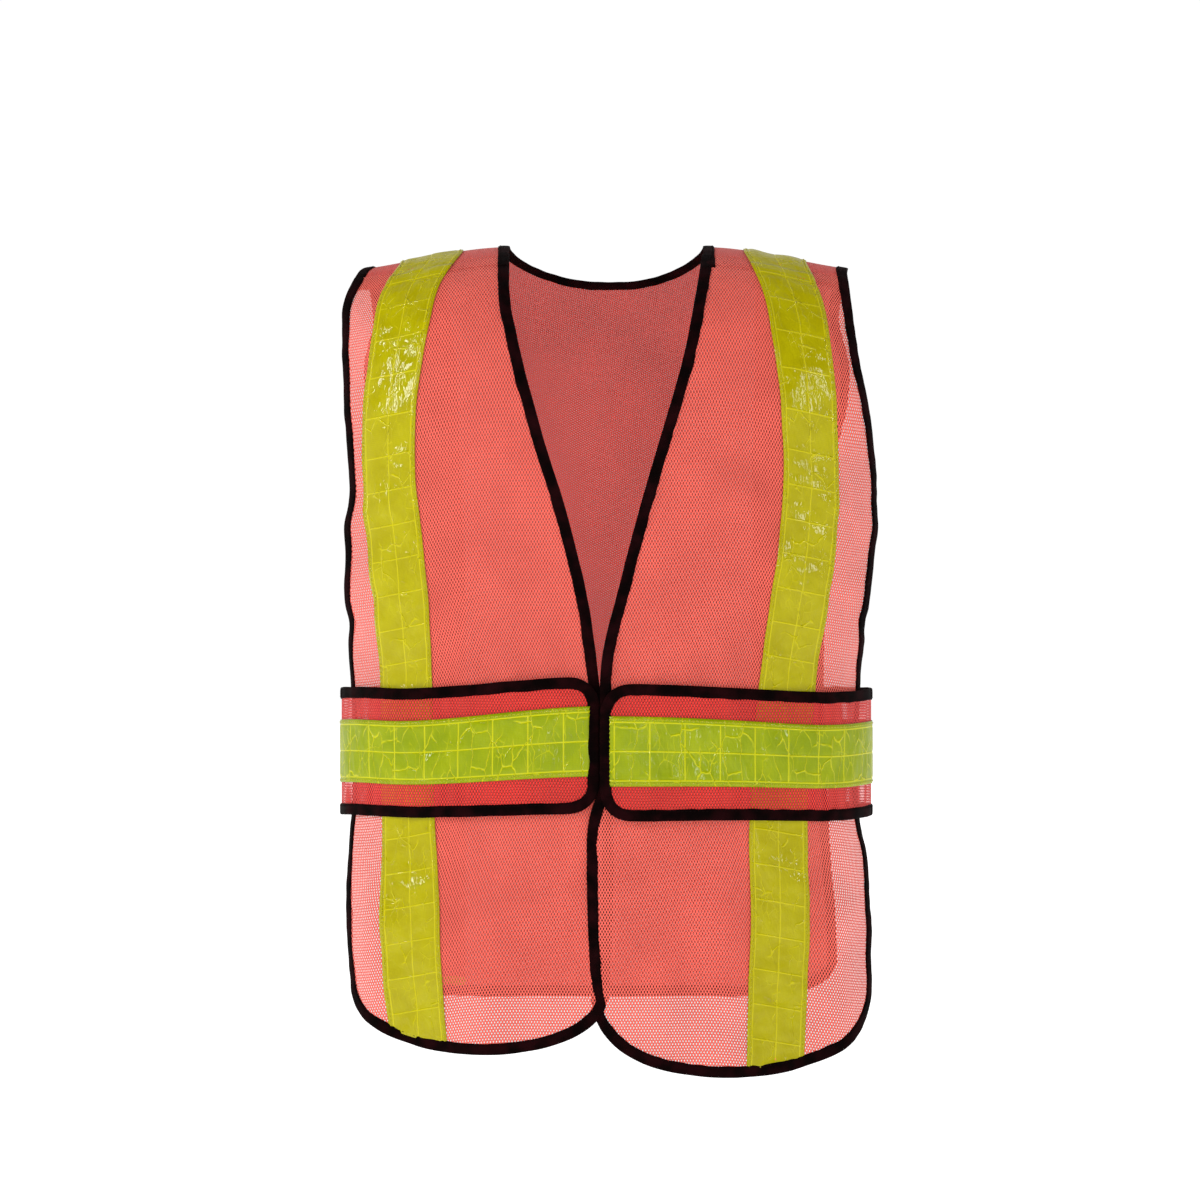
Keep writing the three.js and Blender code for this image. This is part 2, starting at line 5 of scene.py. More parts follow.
import bpy
import numpy as np
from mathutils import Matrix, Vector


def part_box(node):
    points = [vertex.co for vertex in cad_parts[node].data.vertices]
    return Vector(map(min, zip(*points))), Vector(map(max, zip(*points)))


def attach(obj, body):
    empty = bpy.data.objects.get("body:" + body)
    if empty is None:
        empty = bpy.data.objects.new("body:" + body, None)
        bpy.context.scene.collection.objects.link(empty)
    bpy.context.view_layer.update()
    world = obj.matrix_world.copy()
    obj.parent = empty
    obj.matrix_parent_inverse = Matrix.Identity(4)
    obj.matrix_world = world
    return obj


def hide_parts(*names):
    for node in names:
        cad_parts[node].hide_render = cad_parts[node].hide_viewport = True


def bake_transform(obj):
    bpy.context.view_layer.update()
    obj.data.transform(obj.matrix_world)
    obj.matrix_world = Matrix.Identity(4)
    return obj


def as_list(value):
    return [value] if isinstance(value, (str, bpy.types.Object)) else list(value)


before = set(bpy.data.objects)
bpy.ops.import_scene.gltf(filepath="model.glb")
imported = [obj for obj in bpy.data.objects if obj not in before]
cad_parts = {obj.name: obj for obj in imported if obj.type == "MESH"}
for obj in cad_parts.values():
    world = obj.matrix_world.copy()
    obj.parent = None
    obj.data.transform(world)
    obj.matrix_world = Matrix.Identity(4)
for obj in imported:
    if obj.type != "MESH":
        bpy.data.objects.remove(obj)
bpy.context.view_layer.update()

# ---------------------------------------------------------------- sizes, mm
HALF_WIDTH = 228.0
BELT_HALF_WIDTH = 211.6
FRONT_DEPTH = 122.0
BACK_DEPTH = 118.0
SECTION_POWER = 2.6
FRONT_ROLL = 150.0
BACK_ROLL = 120.0
NECK_HALF = 79.0
NECK_DROP_BACK = 25.0
SHOULDER_DROP = 20.0
SEAM = 0.27
SEAM_LAP = 0.055
HEM_BACK = -618.0
HEM_RISE_BACK = 34.0
TAPE_WIDTH = 50.8
TILE = 28.0
BELT_HEIGHT = 103.0
BELT_MID = -411.0
BELT_CORNER = 24.0
BELT_MEET = -5.5
BELT_OFF = 4.2
BELT_WRAP = 0.075
BINDING = 9.2
BINDING_THICK = 2.3
LIFT = 4.6
LIFT_FULL = 30.0
LIFT_END = 68.0
ROLL_RUN = 195.0  # cloth from the shoulder line to the end of the roll
FALL_RUN = 100.0  # cloth in each unit of v below the roll
MESH_INSET = 2.5  # the mesh ends this far inside its binding
HEM_INSET = 6.5  # the tapes end this far above the hem's edge
TAPE_MARGIN = 4.2
TAPE_SEWN = 2.4  # stitches from the tape's edge
TAPE_COLS = 27
LOW_RELIEF = -0.35
LINE_STEP = 3.0  # between points along a front or back binding
BELT_STEP = 2.8  # the same on the belt
FITS = 14  # passes that settle x against the height it depends on
# length, pitch, width and height of a stitch
TAPE_STITCH = (2.5, 3.6, 0.55, 0.34)
BINDING_STITCH = (2.4, 3.4, 0.5, 0.3)
SEAM_STITCH = (2.3, 3.2, 0.5, 0.3)
PATCH_STITCH = (2.2, 3.2, 0.5, 0.3)

SIDE_RIGHT = [
    (-16, 199), (-45, 212), (-80, 214.5), (-130, 211), (-200, 208), (-255, 211), (-310, 209),
    (-360, 206), (-465, 206), (-520, 211), (-570, 210), (-620, 206),
]
SIDE_LEFT = [
    (-18, 195), (-50, 198), (-90, 202), (-140, 211), (-185, 218), (-235, 217), (-290, 210),
    (-350, 206), (-465, 205), (-500, 212), (-555, 217.5), (-620, 214),
]
SIDE_BACK = [(-18, 197), (-60, 191), (-95, 199), (-190, 186), (-600, 186)]
EDGE_RIGHT = [(0, -79), (-50, -77), (-85, -70), (-150, -53), (-222, -31), (-300, -13), (-360, -5.5),
              (-470, 5), (-600, 2)]
EDGE_LEFT = [(0, 79), (-50, 70.5), (-90, 62.5), (-135, 50), (-200, 30.5), (-270, 12), (-340, -4.2),
             (-400, -4.4), (-432, -5), (-464, -14), (-500, -15.5), (-600, -12)]
TAPE_RIGHT = [(-10, 142), (-35, 157), (-70, 165), (-110, 171), (-155, 174), (-205, 173), (-260, 167),
              (-300, 163), (-460, 158.5), (-595, 154), (-650, 151)]
TAPE_LEFT = [(-10, 137), (-40, 149), (-88, 157), (-140, 162), (-185, 164), (-230, 161.5), (-300, 152),
             (-360, 144), (-480, 137), (-550, 139), (-600, 137), (-670, 135)]
TAPE_BACK_RIGHT = [(-10, 142), (-33, 155), (-60, 152), (-150, 146), (-640, 140)]
TAPE_BACK_LEFT = [(-10, 137), (-33, 146.5), (-60, 147), (-150, 146), (-640, 140)]
# how far the side edge turns back (+) or comes forward (-): height, depth
CURL_RIGHT = [(-20, -2), (-50, -6), (-75, 2), (-180, 7), (-250, 12), (-320, 12), (-362, 0),
              (-462, 0), (-500, 6), (-560, 9), (-620, 2)]
CURL_LEFT = [(-20, 0), (-80, -4), (-185, -12), (-280, -5), (-350, 0), (-465, 0), (-520, -4),
             (-570, -8), (-620, -4)]

SIDES = {
    "right": {"sign": -1, "edge": EDGE_RIGHT, "side": SIDE_RIGHT, "tape": TAPE_RIGHT,
              "hem": (-597, 53, 2.2), "curl": CURL_RIGHT},
    "left": {"sign": 1, "edge": EDGE_LEFT, "side": SIDE_LEFT, "tape": TAPE_LEFT,
             "hem": (-600, 68, 2.3), "curl": CURL_LEFT},
}

PI = math.pi
FRONT_CUT = ((0, 0, -0.04), (0, 0, -0.36))  # two places given with each front's cut
NECK_SHARE = 0.401
SEED = {"right": 101, "left": 131}
CAMERA_AWAY = 5.0  # m
VIEW_WIDTH = 0.967


# ---------------------------------------------------------------- curves and waves
def ease(t):
    t = np.clip(t, 0, 1)
    return t * t * (3 - 2 * t)


def along(stations, z):
    """Smooth curve through (height, value) stations listed from the top down."""
    s = np.array(stations, float)
    zs, vs = -s[:, 0], s[:, 1]
    q = np.clip(-np.asarray(z, float), zs[0], zs[-1])
    slope = np.gradient(vs, zs)
    k = np.clip(np.searchsorted(zs, q, side="right") - 1, 0, len(zs) - 2)
    h = zs[k + 1] - zs[k]
    t = (q - zs[k]) / h
    t2, t3 = t * t, t * t * t
    first = (2 * t3 - 3 * t2 + 1) * vs[k] + (t3 - 2 * t2 + t) * slope[k] * h
    return first + (3 * t2 - 2 * t3) * vs[k + 1] + (t3 - t2) * slope[k + 1] * h


def waves(x, z, size, seed, count=6):
    """Smooth irregular relief, about -1 to 1, with features of that size."""
    rng = np.random.default_rng(seed)
    total = 0.0
    for _ in range(count):
        turn = rng.uniform(0, 2 * PI)
        k = 2 * PI / (size * rng.uniform(0.7, 1.5))
        total = total + np.sin(k * (x * math.cos(turn) + z * math.sin(turn)) + rng.uniform(0, 2 * PI))
    return total / math.sqrt(count)


def bump_at(q, middle, width):
    return np.exp(-(((q - middle) / width) ** 2))


def run_along(points):
    """Length along a line of points, from its first one."""
    return np.concatenate([[0], np.cumsum(np.linalg.norm(np.diff(points, axis=0), axis=1))])


# ---------------------------------------------------------------- the surface the cloth follows
def half_width(z):
    free = ease((np.abs(z - BELT_MID) - BELT_HEIGHT / 2 - 4) / 90)
    return BELT_HALF_WIDTH + (HALF_WIDTH - BELT_HALF_WIDTH) * free


def ridge(x):
    return -SHOULDER_DROP * ease((np.abs(x) - NECK_HALF) / 150)


def height(x, v):
    """v < 0 runs down the front from the shoulder line and v > 0 down the back; 1 ends the roll."""
    roll = np.where(v < 0, FRONT_ROLL, BACK_ROLL)
    a = np.abs(v)
    turned = roll * (1 - np.cos(np.minimum(a, 1) * PI / 2))
    return ridge(x) - np.where(a < 1, turned, roll + (a - 1) * FALL_RUN)


def run_of(v):
    """Cloth length from the shoulder line, in mm."""
    a = np.abs(v)
    return np.where(a < 1, a * ROLL_RUN, ROLL_RUN + (a - 1) * FALL_RUN)


def roll_of(run):
    return np.where(run < ROLL_RUN, run / ROLL_RUN, 1 + (run - ROLL_RUN) / FALL_RUN)


def roll_at(x, z, side):
    roll = FRONT_ROLL if side < 0 else BACK_ROLL
    drop = ridge(x) - z
    turned = np.arccos(np.clip(1 - drop / roll, -1, 1)) * 2 / PI
    return side * np.where(drop < roll, turned, 1 + (drop - roll) / FALL_RUN)


def body(a, v):
    x = HALF_WIDTH * np.sin(a)
    for _ in range(4):
        z = height(x, v)
        x = half_width(z) * np.sin(a)
    depth = np.where(v < 0, -FRONT_DEPTH, BACK_DEPTH)
    out = np.sin(np.minimum(np.abs(v), 1) * PI / 2)
    y = depth * out * np.sqrt(np.maximum(1 - np.abs(np.sin(a)) ** SECTION_POWER, 0))
    return np.stack([x, y, z], -1)


def normal_of(surface, a, v):
    du = surface(a + 0.003, v) - surface(a - 0.003, v)
    dv = surface(a, v + 0.006) - surface(a, v - 0.006)
    n = np.cross(du, dv)
    return n / np.maximum(np.linalg.norm(n, axis=-1, keepdims=True), 1e-9)


def belt_bands(z):
    """How far cloth hangs free of the belt, how far it is below it, and the gathers beside it."""
    free = ease((np.abs(z - BELT_MID) - 58) / 55)
    low = ease((-470 - z) / 90)
    return free, low, bump_at(z, -342, 20) + bump_at(z, -482, 20)


def drape_front(x, z, which):
    """Soft folds of a front, outward in mm."""
    sign = SIDES[which]["sign"]
    s = x * sign
    seed = 11 if which == "left" else 23
    free, low, near = belt_bands(z)
    top = ease((z + 330) / 120)
    d = 1.6 * waves(x, z, 150, seed) * free
    d = d + 0.5 * waves(x, z, 46, seed + 1) * free
    # soft flutes that fall from the belt to the hem
    d = d + low * (3.0 * np.cos((s - 70 + 0.05 * z) * 2 * PI / 88) + 1.2 * np.cos(s * 2 * PI / 47))
    # the cloth bridges from the chest to the belt
    d = d + 3.5 * bump_at(z, -300, 60) * bump_at(s, 120, 70) * top
    # slack folds slanting from the arm edge to the belt
    slant = (s - 205) * 0.55 + (z + 225)
    d = d + 2.6 * bump_at(slant, 0, 14) * ease((s - 120) / 60)
    slant = (s - 200) * 0.8 + (z + 300)
    d = d - 2.2 * bump_at(slant, 0, 12) * ease((s - 130) / 60)
    return d + near * 0.9 * np.sin(x * 2 * PI / 31 + 1.3 * sign)


def drape_back(x, z):
    free, low, near = belt_bands(z)
    d = 1.8 * waves(x, z, 160, 5) * free + 0.5 * waves(x, z, 48, 6) * free
    d = d + low * (3.2 * np.cos((x + 20) * 2 * PI / 104) + 1.2 * np.cos(x * 2 * PI / 61))
    return d + near * np.sin(x * 2 * PI / 36)


def front_surface(which):
    """The front's surface as a function of the section angle and the roll."""
    s = SIDES[which]

    def surface(a, v):
        p = body(a, v)
        n = normal_of(body, a, v)
        x, z = p[..., 0], p[..., 2]
        start = ease((np.abs(v) - SEAM - 0.05) / 0.5)
        d = drape_front(x, z, which) * start
        if which == "left":
            lift = LIFT - 2.2 * ease((-426 - z) / 18)
            d = d + lift * (1 - ease((x - LIFT_FULL) / (LIFT_END - LIFT_FULL)))
        q = p + n * d[..., None]
        reach = ease((x * s["sign"] - along(s["side"], z) + 34) / 34)
        q[..., 1] += along(s["curl"], z) * reach**1.5
        return q

    return surface


def back_surface(a, v):
    p = body(a, v)
    n = normal_of(body, a, v)
    d = drape_back(p[..., 0], p[..., 2]) * ease((v - 0.1) / 0.6)
    return p + n * d[..., None]


def angle_of(x, v):
    return np.arcsin(np.clip(x / half_width(height(x, v)), -1, 1))


def laid(surface, x, v, off):
    """Points at a height over the surface, and the outward normals there."""
    a = angle_of(x, v)
    n = normal_of(surface, a, v)
    return surface(a, v) + n * np.asarray(off)[..., None], n


def cloth_uv(x, v):
    """Cloth coordinates in mm: across from the middle, and down from the shoulder line."""
    t = np.linspace(0, 1.5, 200)
    line = np.stack([HALF_WIDTH * np.sin(t), -FRONT_DEPTH * np.sqrt(1 - np.sin(t) ** SECTION_POWER)], -1)
    arc = run_along(line)
    a = angle_of(x, v)
    return np.stack([np.sign(x) * np.interp(np.abs(a), t, arc), -run_of(v)], -1)


# ---------------------------------------------------------------- meshes
def new_mesh(name, points, faces, uv, material, slot, body_name=None, cut=None, node=None):
    """A mesh object from points in mm, uv per point. It rides a body; given a cut, it stays in place with
    its transform baked.

    slot is not used, and node is the CAD node that it replaces.
    """
    name = name.replace(" ", "_")
    data = bpy.data.meshes.new(name)
    data.from_pydata((np.asarray(points).reshape(-1, 3) / 1000).tolist(), [], faces)
    layer = data.uv_layers.new(name="UVMap")
    corners = np.empty(len(data.loops), dtype=np.int32)
    data.loops.foreach_get("vertex_index", corners)
    flat = np.asarray(uv, float).reshape(-1, 2)[corners]
    layer.data.foreach_set("uv", flat.astype(np.float32).ravel())
    data.polygons.foreach_set("use_smooth", [True] * len(data.polygons))
    data.materials.append(material)
    data.update()
    obj = bpy.data.objects.new(name, data)
    bpy.context.scene.collection.objects.link(obj)
    if cut:
        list(cut)
        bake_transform(obj)
    elif body_name:
        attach(obj, body_name)
    if node:
        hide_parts(node)
    return obj


def grid_faces(rows, cols, start=0, flip=False):
    i, j = np.meshgrid(np.arange(rows - 1), np.arange(cols - 1), indexing="ij")
    a = start + i * cols + j
    quads = np.stack([a, a + 1, a + cols + 1, a + cols], -1).reshape(-1, 4)
    return (quads[:, ::-1] if flip else quads).tolist()


def shell(top, low, uv):
    """A closed solid between two grids of points."""
    rows, cols = top.shape[:2]
    n = rows * cols
    faces = grid_faces(rows, cols, 0, True) + grid_faces(rows, cols, n)
    edge = list(range(cols)) + [i * cols + cols - 1 for i in range(1, rows)]
    edge += [n - 1 - j for j in range(1, cols)] + [i * cols for i in range(rows - 2, -1, -1)]
    faces += [[a, b, b + n, a + n] for a, b in zip(edge[:-1], edge[1:])]
    points = np.concatenate([top.reshape(-1, 3), low.reshape(-1, 3)])
    return points, faces, np.concatenate([uv.reshape(-1, 2)] * 2)


def swept_binding(points, normals, toward, seed, width=BINDING, thick=BINDING_THICK):
    """A folded knit binding along an edge: a flattened round section, slightly uneven."""
    tangent = np.gradient(points, axis=0)
    tangent /= np.linalg.norm(tangent, axis=1, keepdims=True)
    inward = np.cross(normals, tangent)
    inward /= np.linalg.norm(inward, axis=1, keepdims=True)
    if np.sum(inward * (toward - points)) < 0:
        inward = -inward
    run = run_along(points)
    t = np.linspace(0, 2 * PI, 17)[:-1]
    cos, sin = np.cos(t), np.sin(t)
    across = width / 2 * (1 - np.sign(cos) * np.abs(cos) ** 0.7)
    lift = thick / 2 * np.sign(sin) * np.abs(sin) ** 0.62
    wob = 1 + 0.022 * waves(run, run * 0, 23, seed) + 0.014 * waves(run, run * 0, 8, seed + 1)
    shift = 0.12 * waves(run, run * 0, 33, seed + 2)
    lay = 0.16 * waves(run, run * 0, 15, seed + 3)
    p = points[:, None] + inward[:, None] * (across[None] * wob[:, None] + shift[:, None] - 0.3)[..., None]
    p = p + normals[:, None] * (lift[None] * wob[:, None] + lay[:, None])[..., None]
    m, k = len(run), len(t)
    faces = []
    for j in range(k):
        a = np.arange(m - 1) * k + j
        b = np.arange(m - 1) * k + (j + 1) % k
        faces += np.stack([a, b, b + k, a + k], -1).tolist()
    faces += [list(range(k))[::-1], list(range((m - 1) * k, m * k))]
    uv = np.stack(np.broadcast_arrays(run[:, None], across[None] + (lift[None] < 0) * 20), -1)
    # the row of stitches close to the inner edge, on the outer side
    row = points + inward * (width - 1.9) + normals * (thick / 2 + lay)[:, None]
    return p.reshape(-1, 3), faces, uv, row


def stitches(rows, length, pitch, width, high):
    """Small thread dashes along rows of (points, normals)."""
    points, faces, uvs = [], [], []
    for line, normals in rows:
        run = run_along(line)
        marks = np.arange(pitch / 2, run[-1] - length, pitch)
        if not len(marks):
            continue

        def at(q, values):
            return np.stack([np.interp(q, run, values[:, c]) for c in range(3)], -1)

        a, b = at(marks, line), at(marks + length, line)
        n = at(marks + length / 2, normals)
        side = np.cross(n, b - a)
        side /= np.linalg.norm(side, axis=1, keepdims=True)
        mid = (a + b) / 2 + n * high
        low = -0.25
        shape = [a + n * low, (a + mid) / 2 + side * width / 2, (a + mid) / 2 - side * width / 2,
                 (a + mid) / 2 + n * high * 0.5, (b + mid) / 2 + side * width / 2,
                 (b + mid) / 2 - side * width / 2, (b + mid) / 2 + n * high * 0.5, b + n * low]
        base = sum(len(p) for p in points)
        block = np.stack(shape, 1)
        order = [[0, 1, 3], [0, 3, 2], [0, 2, 1], [1, 4, 6, 3], [3, 6, 5, 2], [2, 5, 4, 1],
                 [7, 6, 4], [7, 5, 6], [7, 4, 5]]
        for k in range(len(marks)):
            o = base + 8 * k
            faces += [[o + q for q in f] for f in order]
        points.append(block.reshape(-1, 3))
        uvs.append(np.tile(np.array([[0.0, 0.0]]), (len(marks) * 8, 1)))
    return np.concatenate(points), faces, np.concatenate(uvs)


def sew(name, rows, sizes, thread, slot, body_name=None, cut=None):
    return new_mesh(name, *stitches(rows, *sizes), thread, slot, body_name, cut)


# ---------------------------------------------------------------- materials
def linear(r, g, b):
    def one(c):
        c /= 255
        return c / 12.92 if c <= 0.04045 else ((c + 0.055) / 1.055) ** 2.4

    return (one(r), one(g), one(b), 1.0)


class Nodes:
    """Short calls for building the node tree of a material or the world."""

    def __init__(self, owner):
        owner.use_nodes = True
        self.owner = owner
        self.tree = owner.node_tree

    def fill(self, socket, value):
        """Link another node's output to a socket, or set the socket's value."""
        if hasattr(value, "links"):
            self.tree.links.new(value, socket)
        else:
            socket.default_value = value

    def new(self, kind, inputs, **settings):
        node = self.tree.nodes.new(kind)
        for key, value in settings.items():
            setattr(node, key, value)
        for key, value in inputs.items():
            self.fill(node.inputs[key], value)
        return node

    def math(self, kind, a, b=0.0, c=None):
        inputs = {k: value for k, value in enumerate((a, b, c)) if value is not None}
        return self.new("ShaderNodeMath", inputs, operation=kind).outputs[0]

    def uv(self):
        place = self.new("ShaderNodeUVMap", {}, uv_map="UVMap").outputs[0]
        split = self.new("ShaderNodeSeparateXYZ", {0: place})
        return place, split.outputs[0], split.outputs[1]

    def noise(self, vector, scale, detail=2.0, rough=0.5):
        inputs = {"Scale": scale, "Detail": detail, "Roughness": rough, "Vector": vector}
        return self.new("ShaderNodeTexNoise", inputs).outputs[0]

    def ramp(self, value, low, high, to_low=0.0, to_high=1.0, kind="SMOOTHSTEP"):
        inputs = {"From Min": low, "From Max": high, "To Min": to_low, "To Max": to_high, "Value": value}
        return self.new("ShaderNodeMapRange", inputs, interpolation_type=kind).outputs[0]

    def edges(self, vector, scale, loose=1.0):
        """Distance to the nearest border of a pattern of cells."""
        inputs = {"Scale": scale, "Randomness": loose, "Vector": vector}
        return self.new("ShaderNodeTexVoronoi", inputs, feature="DISTANCE_TO_EDGE",
                        voronoi_dimensions="2D").outputs["Distance"]

    def mix(self, factor, a, b, kind="MIX"):
        inputs = {0: factor, 6: a, 7: b}
        return self.new("ShaderNodeMix", inputs, data_type="RGBA", blend_type=kind).outputs[2]

    def bump(self, height, distance, strength=1.0, before=None):
        inputs = {"Distance": distance, "Strength": strength, "Height": height}
        if before is not None:
            inputs["Normal"] = before
        return self.new("ShaderNodeBump", inputs).outputs[0]

    def surface(self, values):
        """The finished material, from the values of its shader."""
        for name, value in values.items():
            self.fill(self.tree.nodes["Principled BSDF"].inputs[name], value)
        return self.owner


def mesh_cloth(name, colour, hole=0.18, across=2.4, down=4.4, turn=0.0, hole_shade=0.0, shade_rim=0.16, shade_depth=0.5):
    """Warp-knit mesh: staggered oval holes in a matte yarn, seen through.

    veil is how far the holes are filled with the shade colour, a painted shade for the layers seen through
    them; rim is the width of the painted shade on the yarn round each hole and deep its tone, and the yarn
    between the holes is painted lighter as a highlight.
    """
    m = Nodes(bpy.data.materials.new(name))
    vector, u, v = m.uv()
    c, s = math.cos(turn), math.sin(turn)
    p = m.math("DIVIDE", m.math("MULTIPLY_ADD", u, c, m.math("MULTIPLY", v, s)), across)
    q = m.math("DIVIDE", m.math("MULTIPLY_ADD", v, c, m.math("MULTIPLY", u, -s)), down)

    def from_hole(shift):
        x = m.math("SUBTRACT", m.math("FRACT", m.math("ADD", p, shift + 500.0)), 0.5)
        y = m.math("SUBTRACT", m.math("FRACT", m.math("ADD", q, shift + 500.0)), 0.5)
        return m.math("SQRT", m.math("ADD", m.math("MULTIPLY", x, x), m.math("MULTIPLY", y, y)))

    d = m.math("MINIMUM", from_hole(0.0), from_hole(0.5))
    yarn = m.ramp(d, hole - 0.015, hole + 0.015)
    # ribs is the yarn's height round each hole, used for its bump and to place its painted shade
    ribs = m.ramp(d, hole, hole + shade_rim)
    patch = m.noise(vector, 0.02, 3.0)
    # light is a painted highlight on the yarn between the holes; dark is the painted shade round their
    # edges
    light = tuple(min(c * 1.22, 1) for c in colour[:3]) + (1.0,)
    painted_shade_colour = tuple(c * shade_depth for c in colour[:3]) + (1.0,)
    shade = m.math("MULTIPLY", ribs, m.ramp(patch, 0.2, 0.8, 0.75, 1.0))
    return m.surface({
        "Base Color": m.mix(shade, painted_shade_colour, light), "Roughness": 0.72, "Specular IOR Level": 0.3,
        "Sheen Weight": 0.1, "Sheen Roughness": 0.5, "Normal": m.bump(ribs, 0.0003, 0.8),
        # veil fills the holes with the shade colour, a painted shade for the shaded layers behind
        "Alpha": m.math("MAXIMUM", yarn, hole_shade),
    })


def knit_binding(name, colour, painted_sheen):
    """Ribbed knit tape, nearly black, with a soft sheen; tint is a maroon painted highlight, laid in noise
    patches.
    """
    m = Nodes(bpy.data.materials.new(name))
    vector, u, v = m.uv()
    rib = m.math("SINE", m.math("MULTIPLY", v, 2 * PI / 0.9))
    loop = m.math("SINE", m.math("MULTIPLY", u, 2 * PI / 1.3))
    weave = m.math("MULTIPLY_ADD", rib, 0.6, m.math("MULTIPLY", loop, 0.5))
    fuzz = m.noise(vector, 1.6, 4.0, 0.7)
    patch = m.noise(vector, 0.05, 2.0)
    first = m.bump(weave, 0.00025, 0.7)
    # tint, a maroon, is a painted highlight for the sheen on the binding, laid in noise patches
    return m.surface({
        "Base Color": m.mix(m.ramp(patch, 0.35, 0.7), colour, painted_sheen), "Roughness": 0.7,
        "Specular IOR Level": 0.02, "Sheen Weight": 0.006, "Sheen Roughness": 0.4,
        "Sheen Tint": (0.5, 0.28, 0.3, 1), "Normal": m.bump(fuzz, 0.0002, 0.5, first),
    })


def crease_lines(m, vector, seed, scale, reach, low, high, stretch):
    """Sharp broken crease lines: 0 off the lines and 1 on them."""
    warp = m.new("ShaderNodeTexNoise", {"Scale": 0.07, "Vector": vector}).outputs[1]
    moved = m.new("ShaderNodeVectorMath", {0: warp, 1: (9, 9, 0), 2: vector}, operation="MULTIPLY_ADD")
    bend = m.new("ShaderNodeMapping", {"Scale": stretch, "Location": (seed * 13.7, seed * 5.1, 0),
                                       "Vector": moved.outputs[0]}).outputs[0]
    line = m.ramp(m.edges(bend, scale), 0.0, reach, 1.0, 0.0)
    where = m.ramp(m.noise(bend, 0.045, 2.0), low, high)
    return m.math("MULTIPLY", line, where), bend


def reflective_tape(name, colour, pale, seed, weld_and_glint_colour, stretch, low):
    """Glossy prismatic film: two columns of tiles, welded edges and small sharp creases, the creases
    painted light as a painted glint.
    """
    m = Nodes(bpy.data.materials.new(name))
    vector, u, v = m.uv()
    # distance to the nearest welded line
    middle = m.math("ABSOLUTE", m.math("SUBTRACT", u, TAPE_WIDTH / 2))
    margin = m.math("ABSOLUTE", m.math("SUBTRACT", middle, TAPE_WIDTH / 2 - TAPE_MARGIN))
    cross = m.math("PINGPONG", m.math("ADD", v, 2000 * TILE + seed * 7.3), TILE / 2)
    inside = m.math("LESS_THAN", middle, TAPE_WIDTH / 2 - TAPE_MARGIN)
    cross = m.math("ADD", cross, m.math("MULTIPLY", m.math("SUBTRACT", 1.0, inside), 30.0))
    line = m.math("MINIMUM", m.math("MINIMUM", middle, margin), cross)
    weld = m.ramp(line, 0.2, 0.95, 1.0, 0.0)
    # rows of small beads pressed into the margins
    bead_u = m.math("ABSOLUTE", m.math("SUBTRACT", middle, TAPE_WIDTH / 2 - 2.3))
    bead_v = m.math("PINGPONG", m.math("ADD", v, 40000.0), 0.85)
    bead = m.math("SQRT", m.math("ADD", m.math("POWER", bead_u, 2.0), m.math("POWER", bead_v, 2.0)))
    beads = m.ramp(bead, 0.15, 0.75, 1.0, 0.0)
    grain = m.ramp(m.edges(vector, 0.8, 0.15), 0.0, 0.16, 0.9, 1.0)
    crease, bent = crease_lines(m, vector, seed, 0.06, 0.05, low, low + 0.14, stretch)
    fine, _ = crease_lines(m, vector, seed + 5, 0.13, 0.07, 0.52, 0.62, stretch)
    dents = m.noise(bent, 0.075, 3.0, 0.5)
    haze = m.noise(vector, 0.045, 3.0)
    tone = m.mix(m.ramp(haze, 0.3, 0.7), colour, pale)
    # marks paints the welds and beads paler yellow, their own tone, and the creases too, a painted glint
    # where they would catch the lamps
    marks = m.math("MAXIMUM", m.math("MAXIMUM", weld, m.math("MULTIPLY", beads, 0.7)),
                   m.math("MAXIMUM", crease, m.math("MULTIPLY", fine, 0.6)))
    tone = m.mix(marks, tone, weld_and_glint_colour)
    n = m.bump(dents, 0.0028, 0.7)
    n = m.bump(crease, 0.0008, 0.7, n)
    n = m.bump(fine, 0.0003, 0.6, n)
    n = m.bump(m.math("MAXIMUM", weld, beads), 0.0004, 0.9, n)
    return m.surface({
        "Base Color": m.mix(1.0, tone, grain, "MULTIPLY"), "Roughness": m.ramp(haze, 0.3, 0.8, 0.26, 0.4),
        "Specular IOR Level": 0.0, "Coat Weight": 0.36, "Coat Roughness": 0.03, "Normal": n,
        "Coat Normal": n,
    })


def plain(name, colour, rough, sheen=0.0, fuzz=0.0, shine=0.15):
    m = Nodes(bpy.data.materials.new(name))
    values = {"Base Color": colour, "Roughness": rough, "Specular IOR Level": shine, "Sheen Weight": sheen}
    if fuzz:
        place = m.new("ShaderNodeTexCoord", {}).outputs["Object"]
        values["Normal"] = m.bump(m.noise(place, 2600.0, 3.0), fuzz, 0.8)
    return m.surface(values)


# each mesh paints shade round and into its holes (rim, deep, veil) and a highlight on its yarn
MESH = mesh_cloth("orange mesh", linear(224, 91, 77), hole_shade=0.3, shade_depth=0.28)
# MESH_BACK_SHADED is the mesh painted darker, a painted shade for the back panel behind the front, with its
# holes mostly filled with painted shade
MESH_BACK_SHADED = mesh_cloth("orange mesh, back", linear(202, 66, 56), 0.15, 2.0, 3.4, turn=1.45, hole_shade=0.7)
MESH_BELT = mesh_cloth("orange mesh, belt", linear(236, 52, 44), 0.2, shade_rim=0.2, shade_depth=0.14)
# the second colour is the maroon painted highlight
KNIT = knit_binding("black knit binding", linear(5, 1, 1), linear(27, 4, 6))
